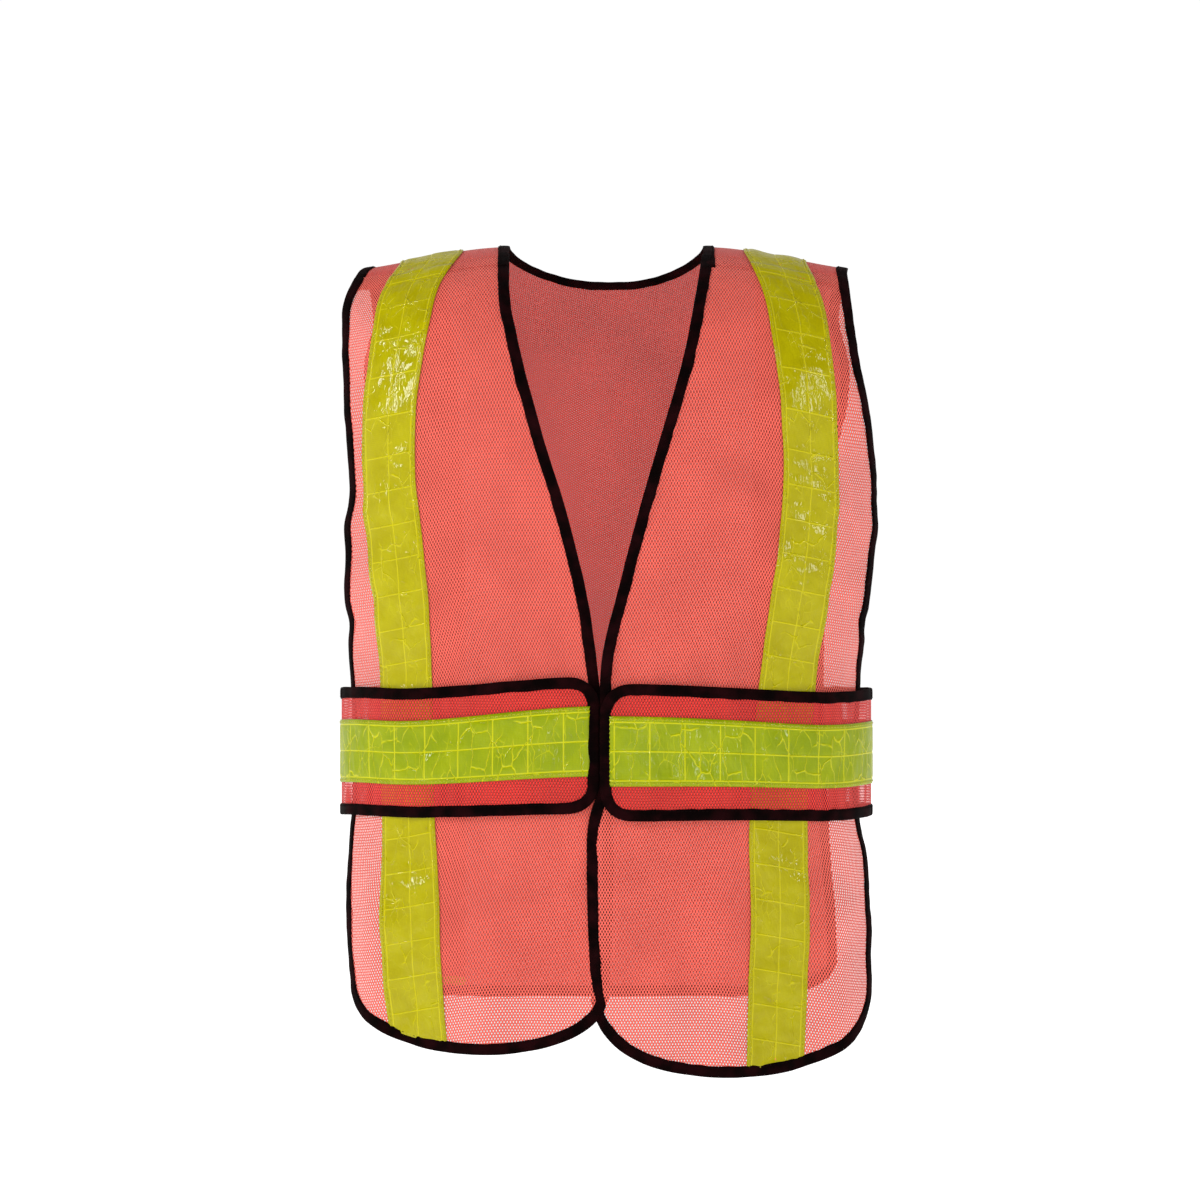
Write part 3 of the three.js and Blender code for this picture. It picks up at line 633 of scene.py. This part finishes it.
# the fourth colour paints the paler welds and, as a painted glint, the creases
TAPE_YELLOW = reflective_tape("reflective tape", linear(156, 147, 0), linear(166, 158, 1), 1,
                              linear(188, 178, 6), (1.25, 0.7, 1.0), 0.46)
TAPE_GREEN = reflective_tape("reflective tape, belt", linear(126, 142, 0), linear(142, 154, 1), 3,
                             linear(186, 186, 8), (0.6, 1.3, 1.0), 0.4)
THREAD_TAPE = plain("yellow thread", linear(176, 168, 12), 0.6, 0.1)
THREAD_DARK = plain("black thread", linear(16, 8, 9), 0.8, 0.0, 0.0, 0.03)
THREAD_ORANGE = plain("orange thread", linear(205, 58, 44), 0.7, 0.1)
LOOP = plain("loop patch", linear(22, 20, 22), 0.95, 0.12, 0.0006)
HOOK = plain("hook patch", linear(24, 24, 26), 0.6, 0.1, 0.0006)


# ---------------------------------------------------------------- pieces
def cut_of(which):
    return ("back", f"front_{which}", *FRONT_CUT)


def hem_share(which, across, inset):
    """Height of a front's hem at a share of its width."""
    corner, drop, power = SIDES[which]["hem"]
    share = np.minimum(np.abs(2 * across - 1), 1)
    return corner - (drop - inset) * (1 - share**power) ** (1 / power)


def hem_front(which, x, inset):
    s = SIDES[which]
    corner = s["hem"][0]
    inner = along(s["edge"], corner) + s["sign"] * inset
    outer = s["sign"] * (along(s["side"], corner) - inset)
    return hem_share(which, (x - inner) / (outer - inner), inset)


def front_place(which, down, across, inset):
    """x and v on a front: down and across run 0 to 1."""
    s = SIDES[which]
    start = -(SEAM - SEAM_LAP)
    x = s["sign"] * np.full(np.broadcast(down, across).shape, 120.0)
    for _ in range(FITS):
        end = roll_at(x, hem_share(which, across, inset), -1)
        first = ROLL_RUN * abs(start)
        run = down * (ROLL_RUN - first + (np.abs(end) - 1) * FALL_RUN) + first
        v = -roll_of(run)
        z = height(x, v)
        inner = along(s["edge"], z) + s["sign"] * inset
        outer = s["sign"] * (along(s["side"], z) - inset)
        x = inner + (outer - inner) * across
    return x, v


def eased(n):
    return (1 - np.cos(np.linspace(0, PI, n))) / 2


def blended(n):
    """0 to 1, mostly even but closer at both ends."""
    return 0.6 * np.linspace(0, 1, n) + 0.4 * eased(n)


def make_front(which):
    surface = front_surface(which)
    down, across = np.meshgrid(np.linspace(0, 1, 215), blended(76), indexing="ij")
    x, v = front_place(which, down, across, MESH_INSET)
    points, _ = laid(surface, x, v, np.zeros_like(x))
    panel = new_mesh(f"Front mesh {which}", points, grid_faces(*x.shape), cloth_uv(x, v), MESH,
                     "mesh", cut=cut_of(which), node=f"front_panel_{which}")
    bound = make_front_binding(which, surface)
    return panel, bound + make_tape("Front", which, front_tape_places(which), surface,
                                    2 if which == "left" else 1, cut=cut_of(which))


def make_front_binding(which, surface):
    n = 190
    one = np.ones(n)
    parts = [(np.linspace(0, 1, n), 0 * one), (one, eased(n)), (np.linspace(1, 0, n), one)]
    xs, vs = [], []
    for k, (down, across) in enumerate(parts):
        x, v = front_place(which, down, across, 0.0)
        xs.append(x[1 if k else 0:])
        vs.append(v[1 if k else 0:])
    x, v = np.concatenate(xs), np.concatenate(vs)
    points, normals = laid(surface, x, v, np.zeros_like(x))
    points, normals = even(points, normals, LINE_STEP)
    middle = np.array([SIDES[which]["sign"] * 110.0, -FRONT_DEPTH, BELT_MID])
    p, faces, uv, row = swept_binding(points, normals, middle, 31 + len(which))
    knit = new_mesh(f"Front binding {which}", p, faces, uv, KNIT, "binding", cut=cut_of(which),
                    node=f"front_binding_{which}")
    return [knit, sew(f"Front binding stitches {which}", [(row, normals)], BINDING_STITCH, THREAD_DARK,
                      "binding", cut=cut_of(which))]


def even(points, normals, step):
    """The same line with its points a fixed step apart."""
    run = run_along(points)
    q = np.linspace(0, run[-1], max(int(run[-1] / step), 3))
    p = np.stack([np.interp(q, run, points[:, c]) for c in range(3)], -1)
    n = np.stack([np.interp(q, run, normals[:, c]) for c in range(3)], -1)
    return p, n / np.linalg.norm(n, axis=1, keepdims=True)


def tape_x(line, sign, v, across):
    x = np.full_like(v, sign * 150.0)
    for _ in range(6):
        x = sign * along(line, height(x, v))
    a = angle_of(x, v)
    step = body(a + 0.01, v) - body(a - 0.01, v)
    slope = np.linalg.norm(step[..., :2], axis=-1) / np.abs(step[..., 0])
    return x + across / slope


def front_tape_places(which):
    s = SIDES[which]

    def low(x):
        return np.abs(roll_at(x, hem_front(which, x, 0.0) + HEM_INSET, -1))

    return tape_places(s["tape"], s["sign"], -1, low)


def tape_places(line, sign, side, low):
    """x, v and across on a tape that runs from the shoulder seam down to the hem."""
    across = np.linspace(-TAPE_WIDTH / 2, TAPE_WIDTH / 2, TAPE_COLS)
    share, across = np.meshgrid(np.linspace(0, 1, 246), across, indexing="ij")
    start = (SEAM + 0.004) * side * -1 if side > 0 else SEAM - 0.008
    x = sign * np.full_like(across, 150.0)
    for _ in range(8):
        end = ROLL_RUN + (low(x) - 1) * FALL_RUN
        run = start * ROLL_RUN + (end - start * ROLL_RUN) * share
        v = side * roll_of(run)
        x = tape_x(line, sign, v, across)
    return x, v, across


def pressed(edge, across, run):
    """Raised tiles between the welded edges, middle line and cross lines of a tape, in mm."""
    tile = np.abs((run % TILE) - TILE / 2)
    relief = 0.42 * ease(edge / 1.2) - 0.35 * bump_at(edge, TAPE_MARGIN, 1.0)
    relief = relief - 0.3 * bump_at(across, 0, 1.3)
    return relief - 0.25 * bump_at(tile, TILE / 2, 1.4) * ease((edge - 4) / 1)


def make_tape(part, which, places, surface, seed, body_name=None, cut=None):
    """A vertical tape laid on the cloth, with its two rows of stitches."""
    x, v, across = places
    name = f"{part} tape {which}"
    run = np.sign(v) * run_of(v)
    edge = TAPE_WIDTH / 2 - np.abs(across)
    relief = pressed(edge, across, run + 14 * seed)
    relief = relief + 0.45 * waves(across, run, 34, 70 + seed) * ease(edge / 9)
    relief = relief + 0.22 * waves(across * 0.4, run, 11, 80 + seed) * ease(edge / 9)
    # the front tape laps over the end of the back one, and a crease crosses it lower down
    seam_run = SEAM * ROLL_RUN
    if cut:
        relief = relief + 0.7 * ease((seam_run + 12 + run) / 8)
        relief = relief - 0.9 * bump_at(run, -seam_run - 13, 2.0)
    relief = np.maximum(relief, LOW_RELIEF)
    # the lower end slips under the hem's binding
    off = 1.05 - 0.75 * ease((np.abs(run) - np.abs(run[-1:]) + 15) / 8)
    top, _ = laid(surface, x, v, off + relief)
    low, _ = laid(surface, x, v, off - 0.5)
    uv = np.stack([across + TAPE_WIDTH / 2, run], -1)
    points, faces, uv2 = shell(top, low, uv)
    tape = new_mesh(name, points, faces, uv2, TAPE_YELLOW, "tape", body_name, cut,
                    f"{part.lower()}_tape_{which}")
    rows = []
    for side in (-1, 1):
        k = np.argmin(np.abs(across[0] - side * (TAPE_WIDTH / 2 - TAPE_SEWN)))
        rows.append(laid(surface, x[:, k], v[:, k], (off + relief)[:, k] + 0.05))
    return [tape, sew(f"{name} stitches", rows, TAPE_STITCH, THREAD_TAPE, "tape", body_name, cut)]


# ---------------------------------------------------------------- back
def neck_dip(inset):
    return math.acos(1 - NECK_DROP_BACK / BACK_ROLL) * 2 / PI + inset * 0.006


def back_top(x, inset):
    reach = NECK_HALF + inset
    share = np.minimum(np.abs(x) / reach, 1)
    return 0.03 + (neck_dip(inset) - 0.03) * (1 - share**2.3) ** (1 / 2.3)


def back_low(x, inset):
    reach = along(SIDE_BACK, HEM_BACK) - inset
    share = np.minimum(np.abs(x) / reach, 1)
    bow = (1 - share**7) ** (1 / 2.4)
    return roll_at(x, HEM_BACK + HEM_RISE_BACK - (HEM_RISE_BACK - inset) * bow, 1)


def back_place(share, down, inset):
    """x and v on the back; down 0 to 1 below the shoulder line, 0 to -1 over the shoulder."""
    share, down = np.broadcast_arrays(share, down)
    sign = np.where(share < 0, -1.0, 1.0)
    flap = down < 0
    x = share * 190
    a = np.abs(share)
    for _ in range(FITS):
        top, low = back_top(x, inset), back_low(x, inset)
        run_top, run_low = top * ROLL_RUN, ROLL_RUN + (low - 1) * FALL_RUN
        run = run_top + (run_low - run_top) * np.maximum(down, 0)
        v = roll_of(run)
        v = np.where(flap, 0.03 + (-(SEAM + SEAM_LAP) - 0.03) * np.maximum(-down, 0), v)
        z = height(x, v)
        over = np.where(sign < 0, along(SIDE_RIGHT, z), along(SIDE_LEFT, z))
        meet = ease(-v / 0.12)
        reach = along(SIDE_BACK, z) * (1 - meet) + over * meet - inset
        near = 1 - ease(np.maximum(run - 6, 0) / 220)
        near = np.where(flap, 1.0, near)
        neck = NECK_HALF + inset
        fitted = np.where(a < NECK_SHARE, a / NECK_SHARE * neck,
                          neck + (reach - neck) * (a - NECK_SHARE) / (1 - NECK_SHARE))
        x = sign * (a * reach * (1 - near) + fitted * near)
    return x, v


def back_shares(n):
    inner = NECK_SHARE * np.sin(np.linspace(0, 1, n) * PI / 2)
    outer = NECK_SHARE + (1 - NECK_SHARE) * np.linspace(0, 1, n + 10)[1:]
    half = np.concatenate([inner, outer])
    return np.concatenate([-half[:0:-1], half]), n - 1


def make_back():
    shares, neck = back_shares(26)
    middle = len(shares) // 2
    below = np.linspace(0, 1, 200)
    over = np.linspace(-1, 0, 22)[:-1]
    grid_s, grid_d = np.meshgrid(shares, np.concatenate([over, below]), indexing="xy")
    x, v = back_place(grid_s, grid_d, MESH_INSET)
    points, _ = laid(back_surface, x, v, np.zeros_like(x))
    faces = grid_faces(*x.shape)
    cols = len(shares)
    kept = []
    for f in faces:
        row, col = divmod(min(f), cols)
        inside = row < len(over) and middle - neck <= col < middle + neck
        if not inside:
            kept.append(f[::-1])
    used = sorted({q for f in kept for q in f})
    number = {q: k for k, q in enumerate(used)}
    kept = [[number[q] for q in f] for f in kept]
    uv = cloth_uv(x, v).reshape(-1, 2)
    uv[:, 1] = np.where(v.ravel() < 0, -uv[:, 1], uv[:, 1])
    panel = new_mesh("Back mesh", points.reshape(-1, 3)[used], kept, uv[used], MESH_BACK_SHADED, "mesh", "back",
                     node="back_panel")
    extras = make_back_bindings()
    for which, sign in (("right", -1), ("left", 1)):
        extras += make_tape("Back", which, back_tape_places(sign), back_surface, 4 + sign, "back")
        extras += make_seam(which, sign)
    return panel, extras


def back_tape_places(sign):
    line = TAPE_BACK_RIGHT if sign < 0 else TAPE_BACK_LEFT
    return tape_places(line, sign, 1, lambda x: back_low(x, HEM_INSET))


def make_back_bindings():
    n = 150
    down = np.linspace(0, 1, n)
    flap = np.linspace(-1, 0, 24)[:-1]
    down = np.concatenate([flap, down])
    turn = -1 + 2 * eased(2 * n)
    share = np.concatenate([-np.ones(len(down)), turn[1:-1], np.ones(len(down))])
    place = np.concatenate([down, np.ones(len(turn) - 2), down[::-1]])
    x, v = back_place(share, place, 0.0)
    pieces = back_binding("Back edge binding", "back_edge_binding", x, v, 41, False)
    turn = NECK_SHARE * np.sin(np.linspace(-1, 1, 120) * PI / 2)
    share = np.concatenate([np.full(len(flap), -NECK_SHARE), turn, np.full(len(flap), NECK_SHARE)])
    place = np.concatenate([flap, np.zeros(len(turn)), flap[::-1]])
    x, v = back_place(share, place, 0.0)
    return pieces + back_binding("Back neck binding", "back_neck_binding", x, v, 47, True)


def back_binding(name, node, x, v, seed, around_neck):
    points, normals = laid(back_surface, x, v, np.zeros_like(x))
    points, normals = even(points, normals, LINE_STEP)
    toward = np.array([0.0, BACK_DEPTH, BELT_MID])
    if around_neck:
        toward = points * 2 - np.array([0.0, BACK_DEPTH / 4, 0.0])
    p, faces, uv, row = swept_binding(points, normals, toward, seed)
    knit = new_mesh(name, p, faces, uv, KNIT, "binding", "back", node=node)
    return [knit, sew(f"{name} stitches", [(row, normals)], BINDING_STITCH, THREAD_DARK, "binding", "back")]


def make_seam(which, sign):
    """The lapped shoulder seam: a doubled strip under the front edge, sewn down twice."""
    roll = np.linspace(-(SEAM + SEAM_LAP), -(SEAM - SEAM_LAP), 9)
    x = sign * np.linspace(NECK_HALF + 2, 196, 70)
    roll, x = np.meshgrid(roll, x, indexing="ij")
    points, _ = laid(back_surface, x, roll, np.full_like(x, -0.5))
    strip = new_mesh(f"Shoulder seam {which}", points, grid_faces(*x.shape), cloth_uv(x, roll), MESH,
                     "mesh", "back", node=f"shoulder_seam_{which}")
    rows = []
    line_x = sign * np.linspace(NECK_HALF + 3, 194, 120)
    for share in (-0.75, 0.75):
        v = np.full_like(line_x, -(SEAM + SEAM_LAP * share))
        off = np.where(np.abs(np.abs(line_x) - 150) < TAPE_WIDTH / 2 + 2, 0.9, 0.25)
        rows.append(laid(back_surface, line_x, v, off))
    return [strip, sew(f"Shoulder seam stitches {which}", rows, SEAM_STITCH, THREAD_ORANGE, "mesh", "back")]


# ---------------------------------------------------------------- belt
def belt_body(which, turn, z):
    """Point of the belt's base: turn 0 is centre front, 1 the fold, 2 centre back."""
    sign = SIDES[which]["sign"]
    a = turn * PI / 2
    w = BELT_HALF_WIDTH
    x = w * np.sin(a)
    depth = np.where(turn < 1, FRONT_DEPTH, BACK_DEPTH)
    side = np.where(turn < 1, -1.0, 1.0)
    y = side * depth * np.sqrt(np.maximum(1 - np.abs(np.sin(a)) ** SECTION_POWER, 0))
    n_x = SECTION_POWER * np.abs(np.sin(a)) ** (SECTION_POWER - 1) / w * np.where(np.sin(a) < 0, -1, 1)
    n_y = 2 * y / depth**2
    size = np.hypot(n_x, n_y)
    n = np.stack([sign * n_x / size, n_y / size, np.zeros_like(x)], -1)
    lift = 0.0
    if which == "left":
        lift = LIFT * (1 - ease((x - LIFT_FULL) / (LIFT_END - LIFT_FULL))) * (turn < 1)
    return np.stack([sign * x, y, z], -1), n, lift


def belt_arc(turn):
    """Length round the belt in mm from centre front."""
    t = np.linspace(-0.2, 3.2, 1400)
    p, _, _ = belt_body("right", t, t * 0)
    run = run_along(p)
    return np.interp(turn, t, run - np.interp(0, t, run))


def fold_free(turn):
    """0 round the folds at the sides, rising to 1 a little way from them."""
    turn = np.asarray(turn, float)
    away = np.minimum(np.abs(turn - 1), np.abs(turn - 3)) - BELT_WRAP
    return ease(away / 0.12)


def belt_relief(turn, z, seed):
    arc = belt_arc(np.asarray(turn, float))
    d = 0.8 * waves(arc, z, 120, seed) + 0.35 * waves(arc, z * 0.3, 40, seed + 1)
    return d * fold_free(turn)


def belt_points(which, turn, z, off, seed):
    base, n, lift = belt_body(which, turn, z)
    d = off + lift + belt_relief(turn, z, seed) + BELT_OFF
    return base + n * np.asarray(d)[..., None], n


def belt_middle(which, turn):
    near = 1 - ease(belt_arc(turn) / 190)
    sag = 3.0 * bump_at(turn, 0.62, 0.22) if which == "left" else -2.0 * bump_at(turn, 0.75, 0.2)
    return BELT_MID + (8 if which == "right" else 2) * near - sag * 0.8


def belt_half(from_end, inset):
    d = np.clip(from_end - inset, 0, BELT_CORNER)
    return BELT_HEIGHT / 2 - inset - BELT_CORNER + np.sqrt(
        np.maximum(BELT_CORNER**2 - (BELT_CORNER - d) ** 2, 0))


def belt_end(which):
    """The turn at which a belt leg ends near the centre front."""
    reach = BELT_MEET * SIDES[which]["sign"] + 0.5
    return math.asin(reach / BELT_HALF_WIDTH) * 2 / PI


def leg_outline(which, turns, inset):
    """Top and bottom heights of a belt leg."""
    arc = belt_arc(turns)
    end = belt_arc(np.array(belt_end(which)))
    half = belt_half(arc - end, inset) + 3.0 * (1 - ease(arc / 170))
    mid = belt_middle(which, turns)
    return mid + half, mid - half


def leg_turns(which, inset, last, n):
    """Turns from the free end to the last one, closer together in the rounded corner."""
    t = np.linspace(-0.2, 2, 900)
    arc = belt_arc(t)
    start = np.interp(belt_end(which), t, arc) + inset
    corner = start + BELT_CORNER * (1 - np.cos(np.linspace(0, PI / 2, 14)))
    rest = np.linspace(corner[-1], np.interp(last, t, arc), n)[1:]
    return np.interp(np.concatenate([corner, rest]), arc, t)


def belt_sheet(which, turns, inset, flip):
    top, low = leg_outline(which, turns, inset)
    share = np.linspace(0, 1, 34)
    t, s = np.meshgrid(turns, share, indexing="xy")
    z = top + (low - top) * s
    points, _ = belt_points(which, t, z, 0.0, SEED[which])
    uv = np.stack([belt_arc(t), z], -1)
    return points, grid_faces(*t.shape, 0, flip), uv


def make_leg(which):
    """One belt end, from the wrap near the fold to the rounded free end."""
    sign = SIDES[which]["sign"]
    fold = 1 - BELT_WRAP
    turns = leg_turns(which, MESH_INSET, fold, 74)
    points, faces, uv = belt_sheet(which, turns, MESH_INSET, sign > 0)
    cloth = new_mesh(f"Belt mesh {which}", points, faces, uv, MESH_BELT, "mesh", cut=leg_cut(which),
                     node=f"belt_mesh_{which}")
    turns = leg_turns(which, 0.0, fold, 74)
    top, low = leg_outline(which, turns, 0.0)
    end_z = np.linspace(top[0], low[0], 16)[1:-1]
    t = np.concatenate([turns[::-1], np.full(len(end_z), turns[0]), turns])
    z = np.concatenate([top[::-1], end_z, low])
    p, n = belt_points(which, t, z, 0.0, SEED[which])
    p, n = even(p, n, BELT_STEP)
    toward = np.array([sign * 110.0, -FRONT_DEPTH, BELT_MID])
    b, faces, uv, row = swept_binding(p, n, toward, 61 + len(which))
    knit = new_mesh(f"Belt binding {which}", b, faces, uv, KNIT, "binding", cut=leg_cut(which),
                    node=f"belt_binding_{which}")
    sewn = sew(f"Belt binding stitches {which}", [(row, n)], BINDING_STITCH, THREAD_DARK, "binding",
               cut=leg_cut(which))
    return cloth, [knit, sewn] + belt_tape(which, belt_end(which), fold)


def leg_cut(which):
    """The cut given with a belt leg: its front, its own body name and two places near the fold."""
    sign = SIDES[which]["sign"]
    return (f"front_{which}", f"belt_{which}", (sign * 0.2095, 0, 0), (sign * 0.16, 0, 0))


def tape_strip(which, turns, seed):
    """Tape relief over a run of belt turns: top and lower points, uv and stitch rows."""
    across = np.linspace(-TAPE_WIDTH / 2, TAPE_WIDTH / 2, TAPE_COLS)
    t, c = np.meshgrid(turns, across, indexing="ij")
    run = belt_arc(t)
    near = 1 - ease(run / 180)
    z = belt_middle(which, t) + c * (1 + 0.1 * near) + (3.0 if which == "right" else 1.0) * near
    edge = TAPE_WIDTH / 2 - np.abs(c)
    relief = pressed(edge, c, run + 9 * seed)
    relief = relief + 0.4 * waves(c, run, 36, 90 + seed) * ease(edge / 9) * fold_free(t)
    relief = relief + 0.2 * waves(c * 0.4, run, 12, 95 + seed) * ease(edge / 9) * fold_free(t)
    relief = np.maximum(relief, LOW_RELIEF)
    start = belt_arc(np.array(belt_end(which)))
    relief = relief * (0.2 + 0.8 * ease((run - start - 7) / 9))
    top, n = belt_points(which, t, z, 1.0 + relief, SEED[which])
    low, _ = belt_points(which, t, z, np.full_like(relief, 0.45), SEED[which])
    rows = []
    for end in (-1, 1):
        k = np.argmin(np.abs(across - end * (TAPE_WIDTH / 2 - TAPE_SEWN)))
        rows.append((top[:, k] + n[:, k] * 0.05, n[:, k]))
    return top, low, np.stack([c + TAPE_WIDTH / 2, run], -1), rows


def belt_tape(which, end, fold):
    t = np.linspace(-0.2, 2, 900)
    arc = belt_arc(t)
    runs = np.arange(np.interp(end, t, arc) + 7.2, np.interp(fold, t, arc), 2.6)
    turns = np.append(np.interp(runs, arc, t), fold)
    top, low, uv, rows = tape_strip(which, turns, 2 if which == "left" else 6)
    points, faces, uv = shell(top, low, uv)
    tape = new_mesh(f"Belt tape {which}", points, faces, uv, TAPE_GREEN, "tape", cut=leg_cut(which),
                    node=f"belt_tape_{which}")
    return [tape, sew(f"Belt tape stitches {which}", rows, TAPE_STITCH, THREAD_TAPE, "tape",
                      cut=leg_cut(which))]


def strap(name, which, turns, body_name=None, cut=None, nodes=False):
    """A stretch of the belt with mesh, tape and both edge bindings; nodes says it stands for CAD nodes."""
    made = []
    half = BELT_HEIGHT / 2
    mid = belt_middle(which, turns)
    share = np.linspace(-1, 1, 34)
    t, s = np.meshgrid(turns, share, indexing="xy")
    z = mid + s * (half - MESH_INSET)
    points, _ = belt_points(which, t, z, 0.0, SEED[which])
    uv = np.stack([belt_arc(t), z], -1)
    made.append(("mesh", "mesh", points, grid_faces(*t.shape), uv, MESH_BELT, "mesh"))
    top, low, uv, rows = tape_strip(which, turns, 2 if which == "left" else 6)
    points, faces, uv = shell(top, low, uv)
    made.append(("tape", "tape", points, faces, uv, TAPE_GREEN, "tape"))
    made.append(("tape stitches", None, *stitches(rows, *TAPE_STITCH), THREAD_TAPE, "tape"))
    for end, word in ((1, "top"), (-1, "low")):
        p, n = belt_points(which, turns, mid + end * half, 0.0, SEED[which])
        p, n = even(p, n, BELT_STEP)
        toward = p * np.array([1, 1, 0]) + np.array([0, 0, BELT_MID])
        b, faces, uv, row = swept_binding(p, n, toward, 150 + end)
        made.append((f"binding {word}", f"binding_{word}", b, faces, uv, KNIT, "binding"))
        made.append((f"binding stitches {word}", None, *stitches([(row, n)], *BINDING_STITCH), THREAD_DARK,
                     "binding"))
    back_node = {"mesh": "belt_mesh_back", "tape": "belt_tape_back", "binding_top": "belt_binding_back_top",
                 "binding_low": "belt_binding_back_low"}
    return [new_mesh(f"{name} {word}", *rest, body_name, cut, back_node.get(key) if nodes else None)
            for word, key, *rest in made]


def make_folds():
    """The stretch of belt round each side, given a cut that names the back and that front."""
    turns = np.linspace(1 - BELT_WRAP, 1 + BELT_WRAP, 30)
    return [strap(f"Belt fold {which}", which, turns,
                  cut=("back", f"front_{which}", (0, 0.0155, 0), (0, -0.016, 0)))
            for which in ("right", "left")]


def make_back_belt():
    """The belt across the back, from one fold to the other."""
    return strap("Belt back", "right", np.linspace(1 + BELT_WRAP, 3 - BELT_WRAP, 230), "back", nodes=True)


# ---------------------------------------------------------------- hook and loop
def patch_box(node):
    """Middle and half size of a CAD patch in mm: across, then up."""
    lo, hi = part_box(node)
    return [((lo[k] + hi[k]) * 500, (hi[k] - lo[k]) * 500) for k in (0, 2)]


def patch_grid(node, rows=28, cols=20):
    """Places over a CAD patch: across and height, with the corners rounded."""
    (mid_x, half_x), (mid_z, half_z) = patch_box(node)
    u, w = np.meshgrid(np.linspace(-1, 1, cols), np.linspace(1, -1, rows), indexing="xy")
    far = np.maximum(np.abs(u), np.abs(w))
    round_off = far / np.maximum((np.abs(u) ** 9 + np.abs(w) ** 9) ** (1 / 9), 1e-9)
    return mid_x + half_x * u * round_off, mid_z + half_z * w * round_off


def tufts(shape, seed):
    return np.random.default_rng(seed).uniform(-0.16, 0.16, shape)


def make_patch(node, body_name, material, place, low, high):
    """A tufted patch sewn round its edge: place(x, z, off) gives the points at a height over the cloth."""
    x, z = patch_grid(node)
    rough = tufts(x.shape, len(node))
    top, under = place(x, z, high + rough), place(x, z, low + rough * 0)
    new_mesh(node.capitalize(), *shell(top, under, np.stack([x, z], -1)), material, "binding", body_name,
             node=node)
    t = np.linspace(0, 2 * PI, 160)
    line = [mid + (half - 2.2) * np.sign(c) * np.abs(c) ** 0.3
            for (mid, half), c in zip(patch_box(node), (np.cos(t), np.sin(t)))]
    top = place(*line, np.full_like(t, high + 0.05))
    out = top - place(*line, np.full_like(t, low))
    out = out / np.linalg.norm(out, axis=1, keepdims=True)
    sew(f"{node.capitalize()} stitches", [even(top, out, 1.5)], PATCH_STITCH, THREAD_DARK, "binding",
        body_name)


def on_front(which):
    surface = front_surface(which)

    def place(x, z, off):
        return laid(surface, x, roll_at(x, z, -1), off)[0]

    return place


def on_belt(which):
    def place(x, z, off):
        turn = np.arcsin(np.abs(x) / BELT_HALF_WIDTH) * 2 / PI
        return belt_points(which, turn, z, off, SEED[which])[0]

    return place


def make_patches():
    for which in ("right", "left"):
        make_patch(f"front_loop_{which}", f"front_{which}", LOOP, on_front(which), 0.3, 1.3)
        make_patch(f"belt_hook_{which}", f"belt_{which}", HOOK, on_belt(which), -0.4, -1.8)
    make_patch("closure_tab", "front_right", LOOP, on_front("right"), 0.5, 1.9)
    make_patch("closure_hook", "front_left", HOOK, on_front("left"), -0.4, -1.6)


# ---------------------------------------------------------------- stage
def make_world():
    """White round the horizon and behind the vest, dimmer above the camera's side."""
    scene = bpy.context.scene
    scene.world = scene.world or bpy.data.worlds.new("World")
    w = Nodes(scene.world)
    split = w.new("ShaderNodeSeparateXYZ", {0: w.new("ShaderNodeTexCoord", {}).outputs["Generated"]})
    behind = w.ramp(split.outputs[1], -0.1, 0.6, 0.15, 1.02, "LINEAR")
    level = w.ramp(split.outputs[2], 0.12, 0.45, 1.02, 0.15, "LINEAR")
    background = w.tree.nodes["Background"]
    w.fill(background.inputs[1], w.math("MAXIMUM", behind, level))
    w.fill(background.inputs[0], (1, 1, 1, 1))


def make_stage():
    bpy.ops.mesh.primitive_plane_add(size=60, location=(0, 0, -1.0))
    floor = bpy.context.object
    floor.name = "Floor"
    pale = plain("pale floor", (0.9, 0.9, 0.9, 1), 0.9)
    shader = pale.node_tree.nodes["Principled BSDF"]
    shader.inputs["Emission Color"].default_value = (1, 1, 1, 1)
    shader.inputs["Emission Strength"].default_value = 0.8
    floor.data.materials.append(pale)
    make_world()
    scene = bpy.context.scene
    scene.view_settings.view_transform = "Standard"
    for name, place, size, power in (
        ("Key", (-2.5, -1.35, 0.95), (0.42, 1.15), 42),
        ("Fill", (2.6, -1.5, 0.7), (0.36, 1.1), 19),
        ("Front", (-0.5, -3.4, 1.9), (1.4, 0.9), 26),
        ("Strip", (0.75, -3.3, -0.25), (0.1, 1.1), 7),
    ):
        light = bpy.data.lights.new(name, "AREA")
        light.shape = "RECTANGLE"
        light.size, light.size_y = size
        light.energy = power
        lamp = bpy.data.objects.new(name, light)
        lamp.location = place
        aim = np.array([0, 0, -0.3]) - np.array(place)
        yaw = math.atan2(aim[1], aim[0]) - PI / 2
        pitch = math.atan2(math.hypot(aim[0], aim[1]), -aim[2])
        lamp.rotation_euler = (pitch, 0, yaw)
        scene.collection.objects.link(lamp)


def make_camera():
    data = bpy.data.cameras.new("Camera")
    data.sensor_width = 36
    data.lens = 36 * CAMERA_AWAY / VIEW_WIDTH
    camera = bpy.data.objects.new("Camera", data)
    camera.location = (-0.0052, -CAMERA_AWAY - 0.06, -0.2877)
    camera.rotation_euler = (PI / 2, 0, 0)
    bpy.context.scene.collection.objects.link(camera)
    bpy.context.scene.camera = camera


# ---------------------------------------------------------------- the vest
back, back_extras = make_back()
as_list(back_extras)
for side_name in ("right", "left"):
    front, front_extras = make_front(side_name)
    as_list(front_extras)
    leg, leg_extras = make_leg(side_name)
    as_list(leg_extras)
for group in make_folds():
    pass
belt, *belt_extras = make_back_belt()
make_patches()
make_stage()
make_camera()
